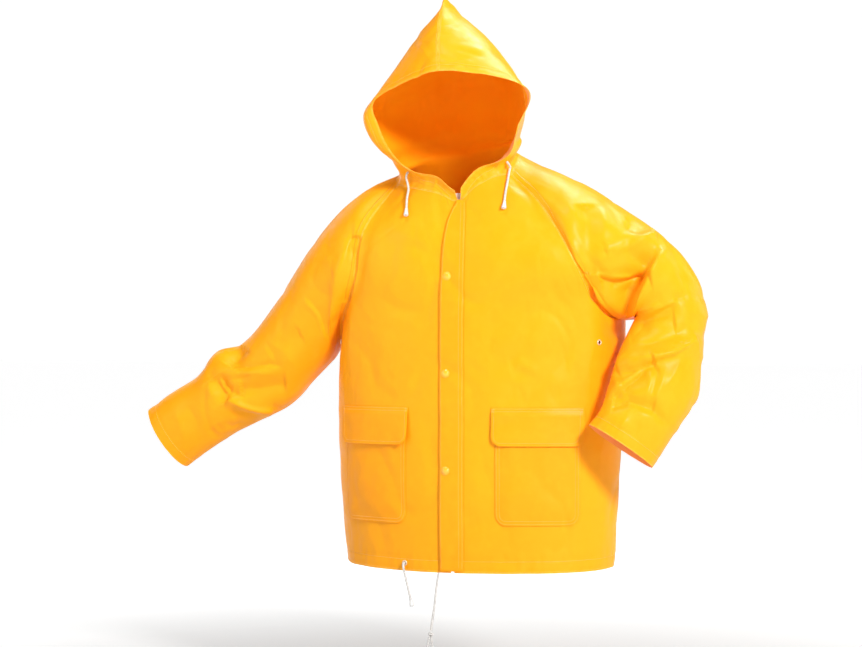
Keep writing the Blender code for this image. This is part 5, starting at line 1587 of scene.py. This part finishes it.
# ---------------------------------------------------------------- stitching
def stitches(name, lines, mats):
    """Thread stitches along lines of (point, normal) pairs."""
    points = []
    faces = []
    for line in lines:
        pts = np.array([pair[0] for pair in line])
        nrm = np.array([pair[1] for pair in line])
        gone = along_path(pts)

        def read(values, place):
            return np.array([np.interp(place, gone, values[:, k]) for k in range(3)])

        s = STITCH_PITCH * 0.4
        while s + STITCH_LONG < gone[-1]:
            a, b = read(pts, s), read(pts, s + STITCH_LONG)
            up = unit(read(nrm, s))
            side = unit(np.cross(up, unit(b - a)))
            mid = (a + b) / 2 + up * STITCH_SUNK
            start = len(points)
            points.append(a - up * STITCH_SUNK)
            for q in (a * 0.78 + mid * 0.22, mid, b * 0.78 + mid * 0.22):
                for sx, sy in ((1, 0), (0, 1), (-1, 0), (0, -1)):
                    points.append(q + side * STITCH_R * sx + up * (STITCH_R * 0.8 * sy + 0.00005))
            points.append(b - up * STITCH_SUNK)
            for k in range(4):
                m = (k + 1) % 4
                faces.append((start, start + 1 + m, start + 1 + k))
                for r in (1, 5):
                    faces.append(tuple(start + r + v for v in (k, m, 4 + m, 4 + k)))
                faces.append((start + 9 + k, start + 9 + m, start + 13))
            s += STITCH_PITCH
    ob = mesh_object(name, points, faces, mats)
    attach(ob, "root")


class Sewn:
    """Finds lines on a panel at a distance from its borders."""

    def __init__(self, surf, number):
        self.points = surf["points"]
        q = surf["quads"][surf["ids"] == number]
        self.tree = tri_tree(surf, surf["ids"] == number)
        self.near = {}
        for face, centre in zip(q, self.points[q].mean(axis=1)):
            for v in face:
                self.near.setdefault(int(v), []).append(centre)

    def line(self, chain, offset):
        """Points and normals beside a chain of border points."""
        pts = self.points[chain]
        spots = []
        for v, p, way in zip(chain, pts, np.gradient(pts, axis=0)):
            if v not in self.near:
                continue
            inward = np.mean(self.near[v], axis=0) - p
            way = unit(way)
            inward = inward - way * np.dot(inward, way)
            if np.linalg.norm(inward) > 1e-6:
                spots.append(p + unit(inward) * offset)
        if len(spots) < 4:
            return []
        spots = np.array(spots)
        for _ in range(2):
            spots[1:-1] = (spots[:-2] + 2 * spots[1:-1] + spots[2:]) / 4
        out = []
        for p in resample(spots, SEWN_STEP)[0]:
            hit, normal, _face, far = self.tree.find_nearest(Vector(p))
            if hit is not None and far <= SEWN_FAR:
                out.append((np.array(hit), np.array(normal)))
        return out


# Seams and borders: pair of panels (-1: open border), panel that carries the stitching, its lines
SEWING = (
    ((FRONT_R, SLEEVE_R), SLEEVE_R, FELLED), ((FRONT_L, SLEEVE_L), SLEEVE_L, FELLED),
    ((BACK, SLEEVE_R), SLEEVE_R, FELLED), ((BACK, SLEEVE_L), SLEEVE_L, FELLED),
    ((FRONT_R, BACK), BACK, FELLED), ((FRONT_L, BACK), BACK, FELLED),
    ((FRONT_R, HOOD_R), FRONT_R, NECK_SEWN), ((FRONT_L, HOOD_L), FRONT_L, NECK_SEWN),
    ((SLEEVE_R, HOOD_R), SLEEVE_R, NECK_SEWN), ((SLEEVE_L, HOOD_L), SLEEVE_L, NECK_SEWN),
    ((BACK, HOOD_R), BACK, NECK_SEWN), ((BACK, HOOD_L), BACK, NECK_SEWN),
    ((HOOD_R, HOOD_L), HOOD_R, CROWN_SEWN), ((HOOD_R, HOOD_L), HOOD_L, CROWN_SEWN),
    ((FRONT_R, -1), FRONT_R, HEMMED), ((FRONT_L, -1), FRONT_L, HEMMED), ((BACK, -1), BACK, HEMMED),
    ((SLEEVE_R, -1), SLEEVE_R, CUFF_SEWN), ((SLEEVE_L, -1), SLEEVE_L, CUFF_SEWN),
    ((HOOD_R, -1), HOOD_R, MOUTH_SEWN), ((HOOD_L, -1), HOOD_L, MOUTH_SEWN),
)


def add_sewing(surf, groups, mats):
    """Stitch lines beside the seams and borders of every panel."""
    sewn = {}
    lines = {}
    for pair, number, offsets in SEWING:
        if number not in sewn:
            sewn[number] = Sewn(surf, number)
        for chain in chains(groups.get(pair, ())):
            for offset in offsets if len(chain) > 5 else ():
                line = sewn[number].line(chain, offset)
                if len(line) > 3:
                    lines.setdefault(number, []).append(line)
    for number, some in lines.items():
        stitches("stitches_" + PANELS[number], some, mats)


def shown_tree(ob):
    """Search tree of a finished object."""
    ob.data.calc_loop_triangles()
    return BVHTree.FromPolygons(
        [v.co.copy() for v in ob.data.vertices], [tuple(t.vertices) for t in ob.data.loop_triangles]
    )


def front_line(ob, ground, side, spots):
    """Points and normals on a laid piece at (distance from the centre front, height)."""
    tree = shown_tree(ob)
    rows = {}
    out = []
    for s, z in spots:
        if side:
            key = round(z, 3)
            if key not in rows:
                rows[key] = ground.row(side, z)
            s = float(np.interp(s, *rows[key]))
        hit, normal = tree.ray_cast(Vector((s, -1.0, z)), Vector((0, 1, 0)))[:2]
        if hit is not None:
            out.append((np.array(hit), np.array(normal)))
    return out


def round_path(start, width, top, low, radius, inset):
    """Path down one side, round the corners and up the other side of a pocket piece."""
    r = max(radius - inset, 0.002)
    a, b, c = start + inset, start + width - inset, low + inset
    path = [(a, z) for z in np.arange(top, c + r, -SEWN_STEP)]
    path += [(a + r - r * math.cos(t), c + r - r * math.sin(t)) for t in np.linspace(0, math.pi / 2, 7)]
    path += [(s, c) for s in np.arange(a + r + SEWN_STEP, b - r, SEWN_STEP)]
    path += [(b - r + r * math.sin(t), c + r - r * math.cos(t)) for t in np.linspace(0, math.pi / 2, 7)]
    path += [(b, z) for z in np.arange(c + r + SEWN_STEP, top, SEWN_STEP)]
    return path


def add_laid_sewing(made, ground, mats):
    """Stitching of the pockets, their flaps and the storm flap."""
    for side, start, tag in POCKETS:
        wide = POCKET_WIDTH - 2 * BAG_INSET
        bag = made["pocket_bag_" + tag]
        lines = []
        for inset in STITCH_IN:
            path = round_path(start + BAG_INSET, wide, FLAP_BOTTOM + 0.002, BAG_BOTTOM, BAG_CORNER, inset)
            lines.append(front_line(bag, ground, side, path))
        stitches("stitches_pocket_bag_" + tag, lines, mats)
        end = start + POCKET_WIDTH
        paths = [round_path(start, POCKET_WIDTH, FLAP_TOP - 0.006, FLAP_BOTTOM, FLAP_CORNER, FLAP_STITCH_IN)]
        for down in (0.0022, 0.0070):
            paths.append([(s, FLAP_TOP - down) for s in np.arange(start + 0.003, end - 0.003, SEWN_STEP)])
        for s in (start + 0.004, end - 0.004):
            for k in range(5):
                paths.append([(s - 0.0022 + 0.0011 * k, FLAP_TOP - d) for d in np.linspace(0.001, 0.009, 6)])
        flap = made["pocket_flap_" + tag]
        stitches("stitches_pocket_flap_" + tag, [front_line(flap, ground, side, p) for p in paths], mats)
    lines = []
    for edge, inset in ((1, -0.0022), (1, -0.0085), (0, 0.0030)):
        heights = np.arange(STORM_FLAP[0][0] - 0.004, STORM_FLAP[-1][0] + 0.002, -0.005)
        spots = [(table_at(STORM_FLAP, z)[edge] + inset, z) for z in heights]
        lines.append(front_line(made["storm_flap"], ground, 0, spots))
    stitches("stitches_storm_flap", lines, mats)


# ---------------------------------------------------------------- materials
class Nodes:
    """Short way to make the shader nodes of a material or a world."""

    def __init__(self, owner, shader="Principled BSDF"):
        owner.use_nodes = True
        self.owner = owner
        self.tree = owner.node_tree
        self.shader = self.tree.nodes[shader]

    def feed(self, socket, value):
        """Set an input to a number, colour or vector, or link it to a socket."""
        if isinstance(value, (int, float)):
            socket.default_value = value
        elif isinstance(value, tuple):
            socket.default_value = (value + (1.0,))[:len(socket.default_value)]
        elif value is not None:
            self.tree.links.new(value, socket)

    def put(self, kind, inputs=None, **fields):
        """New node with its fields set and its inputs fed."""
        node = self.tree.nodes.new(kind)
        for key, value in fields.items():
            setattr(node, key, value)
        for key, value in (inputs or {}).items():
            self.feed(node.inputs[key], value)
        return node

    def math(self, how, a, b=None):
        """Math node on two sockets or numbers."""
        return self.put("ShaderNodeMath", {0: a, 1: b}, operation=how).outputs[0]

    def span(self, value, low, high, a=0.0, b=1.0):
        """Value mapped smoothly from low..high to a..b."""
        inputs = {0: value, 1: low, 2: high, 3: a, 4: b}
        return self.put("ShaderNodeMapRange", inputs, interpolation_type="SMOOTHSTEP").outputs[0]

    def noise(self, vector, scale, detail=2.0, rough=0.5, out="Fac"):
        """Noise of a vector."""
        inputs = {"Vector": vector, "Scale": scale, "Detail": detail, "Roughness": rough}
        return self.put("ShaderNodeTexNoise", inputs).outputs[out]

    def mix(self, factor, a, b):
        """Colour mix of two colours or sockets."""
        return self.put("ShaderNodeMix", {0: factor, 6: a, 7: b}, data_type="RGBA").outputs[2]

    def place(self, kind="Object"):
        """Coordinates of the shaded point."""
        return self.put("ShaderNodeTexCoord").outputs[kind]

    def uv(self):
        """Cloth coordinates in metres."""
        return self.put("ShaderNodeUVMap", uv_map="cloth").outputs[0]

    def value(self, name):
        """A number stored on the mesh."""
        return self.put("ShaderNodeAttribute", attribute_name=name).outputs["Fac"]

    def weave(self, vector, pitch):
        """Height of a plain weave, from 0 to 1."""
        split = self.put("ShaderNodeSeparateXYZ", {0: vector})
        turn = 2 * math.pi / pitch
        x, y = (self.math("SINE", self.math("MULTIPLY", split.outputs[k], turn)) for k in (0, 1))
        return self.math("ADD", self.math("MULTIPLY", self.math("MULTIPLY", x, y), 0.5), 0.5)

    def crumple(self, place, scale):
        """Uneven facets with sharp ridges, as in a coated cloth that has been folded."""
        warp = self.noise(place, scale * 0.35, out="Color")
        reach = (0.9 / scale, 0.9 / scale, 1.6 / scale)
        pull = self.put("ShaderNodeVectorMath", {0: warp, 1: reach, 2: place}, operation="MULTIPLY_ADD")
        inputs = {"Vector": pull.outputs[0], "Scale": scale, "Detail": 1.6, "Roughness": 0.5}
        return self.put("ShaderNodeTexVoronoi", inputs).outputs["Distance"]

    def bump(self, height, strength, distance, before=None):
        """Bump node; gives its normal."""
        inputs = {"Strength": strength, "Distance": distance, "Height": height, "Normal": before}
        return self.put("ShaderNodeBump", inputs).outputs[0]

    def coated(self, place, deep, pale):
        """Mottled colour of the coated cloth, and its fine noise."""
        big = self.noise(place, 4.0, 2.0, 0.5)
        small = self.noise(place, 60.0, 3.0, 0.6)
        colour = self.mix(self.span(big, 0.3, 0.7), deep, pale)
        return self.mix(self.math("MULTIPLY", self.span(small, 0.42, 0.72), 0.25), colour, OUTER_PALE), small

    def finish_coated(self, place, colour, small, before=None):
        """The coated cloth's folded, grained and woven surface and its dull shine."""
        normal = self.bump(self.crumple(place, 17.0), 0.16, 0.0065, before)
        normal = self.bump(self.noise(place, 38.0, 4.0, 0.62), 0.14, 0.0014, normal)
        normal = self.bump(self.noise(place, 420.0, 2.0, 0.6), 0.16, 0.0004, normal)
        normal = self.bump(self.weave(self.uv(), 0.0011), 0.10, 0.0002, normal)
        return self.finish(
            colour, self.span(small, 0.3, 0.75, 0.36, 0.50), normal, Specular_IOR_Level=0.12,
            Coat_Weight=0.03, Coat_Roughness=0.32, Sheen_Weight=0.01, Sheen_Roughness=0.45,
        )

    def finish(self, colour=None, rough=None, normal=None, **fixed):
        """Feed the shader's inputs; gives the material."""
        for key, value in {"Base_Color": colour, "Roughness": rough, "Normal": normal, **fixed}.items():
            self.feed(self.shader.inputs[key.replace("_", " ")], value)
        return self.owner


OUTER = (0.940, 0.364, 0.006)
OUTER_DEEP = (0.935, 0.348, 0.005)
OUTER_PALE = (0.955, 0.395, 0.010)
LAID = (0.935, 0.345, 0.006)
LAID_DEEP = (0.930, 0.330, 0.005)
# Painted highlight: pale yellow along the raised seam and hem edges
EDGE_HIGHLIGHT = (0.990, 0.600, 0.110)
SEAM_SHADE = (0.74, 0.19, 0.003)
LAP_EDGE = 0.0116        # width of the lapped seams
INNER = (0.940, 0.365, 0.001)
INNER_DEEP = (0.920, 0.325, 0.001)
# Painted light: paler colour of the inside near the open borders
INNER_PAINTED_LIGHT = (0.960, 0.360, 0.130)


def cloth_outer(name):
    """Coated cloth: fine grain, mottling, lapped seams with a painted shade line, casings and a painted
    highlight along the seam and hem edges.
    """
    n = Nodes(bpy.data.materials.new(name))
    place = n.place()
    seam = n.value("seam")
    hem = n.value("hem")
    lap = n.value("lap")
    colour, small = n.coated(place, OUTER_DEEP, OUTER)
    # Painted highlight: pale yellow in noisy patches within about 2 mm of seams and borders, where the raised
    # edges catch the light.
    edge = n.math("MAXIMUM", n.span(seam, 0.0002, 0.0022, 1.0, 0.0), n.span(hem, 0.0002, 0.0026, 1.0, 0.0))
    edge_highlight = n.math("MULTIPLY", edge, n.span(n.noise(place, 140.0, 4.0, 0.7), 0.35, 0.7, 0.1, 0.75))
    colour = n.mix(edge_highlight, colour, EDGE_HIGHLIGHT)
    line = n.span(n.math("ABSOLUTE", n.math("SUBTRACT", lap, LAP_EDGE)), 0.0, 0.0014, 1.0, 0.0)
    line = n.math("MAXIMUM", line, n.span(seam, 0.0, 0.0009, 1.0, 0.0))
    colour = n.mix(n.math("MULTIPLY", line, 0.40), colour, SEAM_SHADE)
    flap = n.span(lap, 0.0106, 0.0124, 1.0, 0.0)
    pucker = n.math("MULTIPLY", n.noise(place, 170.0, 1.0, 0.4), n.span(seam, 0.004, 0.020, 0.6, 0.0))
    casing = n.span(hem, 0.0195, 0.0215, 1.0, 0.0)
    height = n.math("ADD", n.math("ADD", flap, pucker), casing)
    return n.finish_coated(place, colour, small, n.bump(height, 0.65, 0.0009))


def cloth_inner(name):
    """Knitted backing of the cloth, with painted light: paler along the open borders, where the studio light
    reaches in, and a faint painted orange glow.
    """
    n = Nodes(bpy.data.materials.new(name))
    place = n.place()
    uv = n.uv()
    hem = n.value("hem")
    big = n.noise(place, 7.0, 3.0, 0.6)
    colour = n.mix(n.span(big, 0.35, 0.68), INNER_DEEP, INNER)
    # Painted light: paler within about 16 mm of the face opening, cuffs and hem, where the light reaches in.
    colour = n.mix(n.span(hem, 0.0150, 0.0180, 0.85, 0.0), colour, INNER_PAINTED_LIGHT)
    normal = n.bump(n.weave(uv, 0.0016), 0.35, 0.0003)
    normal = n.bump(n.noise(place, 300.0, 2.0, 0.6), 0.15, 0.0004, normal)
    # The emission is a painted glow, standing in for light shining through the cloth.
    return n.finish(
        colour, n.span(big, 0.3, 0.7, 0.72, 0.86), normal, Specular_IOR_Level=0.15, Sheen_Weight=0.01,
        Sheen_Roughness=0.5, Emission_Color=(1.0, 0.30, 0.0), Emission_Strength=0.07,
    )


def cloth_laid(name):
    """The outer cloth of the pieces laid on the fronts."""
    n = Nodes(bpy.data.materials.new(name))
    place = n.place()
    colour, small = n.coated(place, LAID_DEEP, LAID)
    return n.finish_coated(place, colour, small)


# Plain materials: two near colours, scale of their mix, roughness, strength and scale of the grain,
# and other inputs of the shader
PLAIN = {
    "thread": (((0.90, 0.40, 0.030), (0.98, 0.56, 0.075), 300.0, 0.62, 0.3, 2500.0), {"Sheen_Weight": 0.3}),
    "zip_tape": (((0.84, 0.81, 0.75), (0.92, 0.90, 0.85), 120.0, 0.75, 0.5, 1400.0), {"Sheen_Weight": 0.3}),
    "zip_coil": (((0.86, 0.84, 0.80), (0.95, 0.94, 0.91), 200.0, 0.35, 0.1, 900.0), {}),
    "cord_braid": (((0.5, 0.49, 0.47), (0.66, 0.65, 0.63), 260.0, 0.8, 0.6, 2600.0), {"Sheen_Weight": 0.35}),
    "cord_tip": (((0.60, 0.60, 0.59), (0.70, 0.70, 0.69), 90.0, 0.34, 0.12, 500.0), {}),
    "press_stud": (((0.90, 0.40, 0.010), (0.97, 0.50, 0.030), 90.0, 0.22, 0.10, 420.0), {"Coat_Weight": 0.6}),
    "eyelet_ring": (((0.86, 0.62, 0.40), (0.95, 0.76, 0.56), 200.0, 0.30, 0.15, 700.0), {"Metallic": 0.4}),
    # painted shade: colour of the dark disc inside each eyelet
    "eyelet_painted_shade": (((0.055, 0.018, 0.004), (0.11, 0.030, 0.006), 90.0, 0.9, 0.2, 500.0), {}),
}


def plain(name, one, two, scale, rough, strength, grain, **fixed):
    """Material from two near colours mixed by noise, with a fine grain."""
    n = Nodes(bpy.data.materials.new(name))
    place = n.place()
    mixed = n.noise(place, scale, 3.0, 0.6)
    colour = n.mix(n.span(mixed, 0.3, 0.7), one, two)
    normal = n.bump(n.noise(place, grain, 2.0, 0.5), strength, 0.0003)
    return n.finish(colour, n.span(mixed, 0.2, 0.8, rough - 0.06, rough + 0.06), normal, **fixed)


# ---------------------------------------------------------------- light and camera
def area(name, place, target, size, power, colour):
    """Soft rectangular light aimed at a point."""
    data = bpy.data.lights.new(name, "AREA")
    data.shape = "RECTANGLE"
    data.size, data.size_y = size
    data.energy = power
    data.color = colour
    ob = bpy.data.objects.new(name, data)
    ob.location = place
    ob.rotation_euler = (Vector(target) - Vector(place)).to_track_quat("-Z", "Y").to_euler()
    bpy.context.scene.collection.objects.link(ob)
    return ob


# Lights of the studio: name, place, size, power, colour
LIGHTS = (
    ("key", (3.4, -3.15, 2.0), (0.8, 0.8), 285, (1.0, 0.99, 0.97)),
    ("top", (-0.5, -1.2, 2.8), (1.1, 0.9), 40, (1.0, 1.0, 1.0)),
    ("fill", (-2.4, -2.2, 0.9), (1.4, 1.4), 20, (1.0, 1.0, 1.0)),
    ("crown", (0.5, 1.4, 2.4), (1.2, 0.9), 62, (1.0, 1.0, 0.98)),
    ("rear", (2.2, 1.7, 0.7), (1.2, 1.4), 14, (1.0, 1.0, 1.0)),
    ("rear_side", (-2.3, 1.6, 0.6), (1.2, 1.4), 8, (1.0, 1.0, 1.0)),
)
LIT = (-0.05, 0.0, -0.28)        # what the lights point at


def set_stage():
    """Pale floor, bright surroundings, studio lights and the camera."""
    scene = bpy.context.scene
    scene.world = bpy.data.worlds.new("studio")
    n = Nodes(scene.world, "Background")
    split = n.put("ShaderNodeSeparateXYZ", {0: n.place("Generated")})
    n.feed(n.shader.inputs["Strength"], n.span(n.math("ABSOLUTE", split.outputs[2]), 0.12, 0.16, 1.02, 0.03))
    n.feed(n.shader.inputs["Color"], (1.0, 1.0, 1.0))
    n = Nodes(bpy.data.materials.new("floor"))
    colour = n.mix(n.noise(n.place(), 0.7, 4.0, 0.6), (0.47, 0.47, 0.47), (0.51, 0.51, 0.51))
    length = n.put("ShaderNodeVectorMath", {0: n.place()}, operation="LENGTH")
    glow = n.span(length.outputs["Value"], 0.5, 2.6, 0.04, 0.95)
    floor_mat = n.finish(colour, 0.6, Emission_Color=(1.0, 1.0, 1.0), Emission_Strength=glow)
    corners = [(x * FLOOR_REACH, y * FLOOR_REACH, FLOOR_Z) for x, y in ((-1, -1), (1, -1), (1, 1), (-1, 1))]
    mesh_object("floor", corners, [(0, 1, 2, 3)], [floor_mat])
    [area(name, place, LIT, size, power, colour) for name, place, size, power, colour in LIGHTS]
    scene.view_settings.view_transform = "Standard"
    scene.view_settings.look = "None"
    data = bpy.data.cameras.new("camera")
    data.lens = LENS
    data.sensor_width = SENSOR
    cam = bpy.data.objects.new("camera", data)
    cam.location = (
        -DRAW_SIDE * math.cos(DRAW_TURN) + DRAW_FAR * math.sin(DRAW_TURN),
        -DRAW_SIDE * math.sin(DRAW_TURN) - DRAW_FAR * math.cos(DRAW_TURN),
        -DRAW_RISE,
    )
    cam.rotation_euler = (math.pi / 2, 0.0, DRAW_TURN)
    scene.collection.objects.link(cam)
    scene.camera = cam


# ---------------------------------------------------------------- the jacket
def build_surface():
    """Fine surface of the whole jacket with folds, borders and stored distances."""
    points, faces, panel, uvs = build_cage()
    cage = through_points(points, faces, panel)
    made, quads, ids, uv = smooth(cage, faces, panel, LEVELS, uvs)
    normals = vertex_normals(made, quads)
    member = membership(len(made), quads, ids)
    made = made + normals * (fold_shift(made, normals, member) + ripple(made, member))[:, None]
    groups = border_edges(made, quads, ids)
    kinds = border_lines(made, groups)
    gaps = {}
    alongs = {}
    x, y, z = made.T
    for kind, lines in kinds.items():
        heights = np.concatenate([z[line] for line in lines])
        near = {
            "seam": np.ones(len(made), dtype=bool),
            "cuff": (np.abs(x) > 0.22) & (z < -0.3),
            "hem": z < heights.max() + BORDER_REACH,
            "mouth": (z > heights.min() - BORDER_REACH) & (y < 0.0),
        }
        gaps[kind], alongs[kind] = far_from(made, lines, np.nonzero(near[kind])[0])
    made = made + normals * np.asarray(gather_shift(gaps, alongs))[:, None]
    laps = {}
    for number in range(len(PANELS)):
        laps_on = [pair for pair, owner, offsets in SEWING if owner == number and offsets == FELLED]
        lines = [c for pair in laps_on for c in chains(groups[pair])]
        mine = np.unique(quads[ids == number])
        laps[number] = far_from(made, lines, mine)[0] if lines else np.full(len(made), 1.0)
    return {
        "points": made,
        "normals": vertex_normals(made, quads),
        "quads": quads,
        "ids": ids,
        "uv": uv,
        "seam": gaps["seam"],
        "lap": laps,
        "hem": np.minimum(np.minimum(gaps["hem"], gaps["cuff"]), gaps["mouth"]),
    }, groups


# Each sheet: width, length and area of the flat cloth, how it is held, what it rests on
SHEETS = {
    "front_right": (0.34, 0.76, 0.201, "gathered", ["back", "sleeve_right"]),
    "front_left": (0.34, 0.76, 0.207, "gathered", ["back", "sleeve_left"]),
    "back": (0.64, 0.78, 0.413, "gathered", ["front_left", "front_right"]),
    "sleeve_right": (0.60, 0.62, 0.284, "gathered", ["back", "front_right"]),
    "sleeve_left": (0.60, 0.62, 0.259, "gathered", ["back", "front_left"]),
    "hood_right": (0.36, 0.42, 0.107, "gathered", ["back", "front_right"]),
    "hood_left": (0.36, 0.42, 0.101, "gathered", ["back", "front_left"]),
    "storm_flap": (0.045, 0.671, 0.0299, "laid", ["front_left", "front_right"]),
    "pocket_bag_left": (0.156, 0.193, 0.0301, "laid", ["front_left"]),
    "pocket_bag_right": (0.156, 0.193, 0.0301, "laid", ["front_right"]),
    "pocket_flap_left": (0.168, 0.069, 0.0115, "laid", ["front_left"]),
    "pocket_flap_right": (0.168, 0.069, 0.0115, "laid", ["front_right"]),
}


def main():
    """Build the whole jacket and its stage."""
    surf, groups = build_surface()
    outer = cloth_outer("coated_cloth")
    inner = cloth_inner("cloth_backing")
    flat_cloth = cloth_laid("coated_cloth_laid")
    look = {name: [plain(name, *row, **fixed)] for name, (row, fixed) in PLAIN.items()}
    made = {}
    for number, name in enumerate(PANELS):
        made[name] = panel_object(number, surf, [outer, inner])
    fronts = Ground(surf, (FRONT_R, FRONT_L))
    made.update(add_pockets(fronts, [flat_cloth]))
    made["storm_flap"] = add_storm_flap(fronts, [flat_cloth])
    add_snaps(fronts, look["press_stud"])
    add_zip(fronts, look["zip_tape"], look["zip_coil"])
    hood_near = Ground(surf, (FRONT_R, FRONT_L, HOOD_R, HOOD_L))
    add_cords(fronts, hood_near, look)
    for tag, x in VENTS:
        add_eyelet("vent_eyelet_" + tag, *fronts.soft(x, VENT_Z), look["eyelet_ring"], look["eyelet_painted_shade"])
    add_sewing(surf, groups, look["thread"])
    add_laid_sewing(made, fronts, look["thread"])
    for name, (wide, long, size, held, rests) in SHEETS.items():
        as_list(rests)
    set_stage()


main()
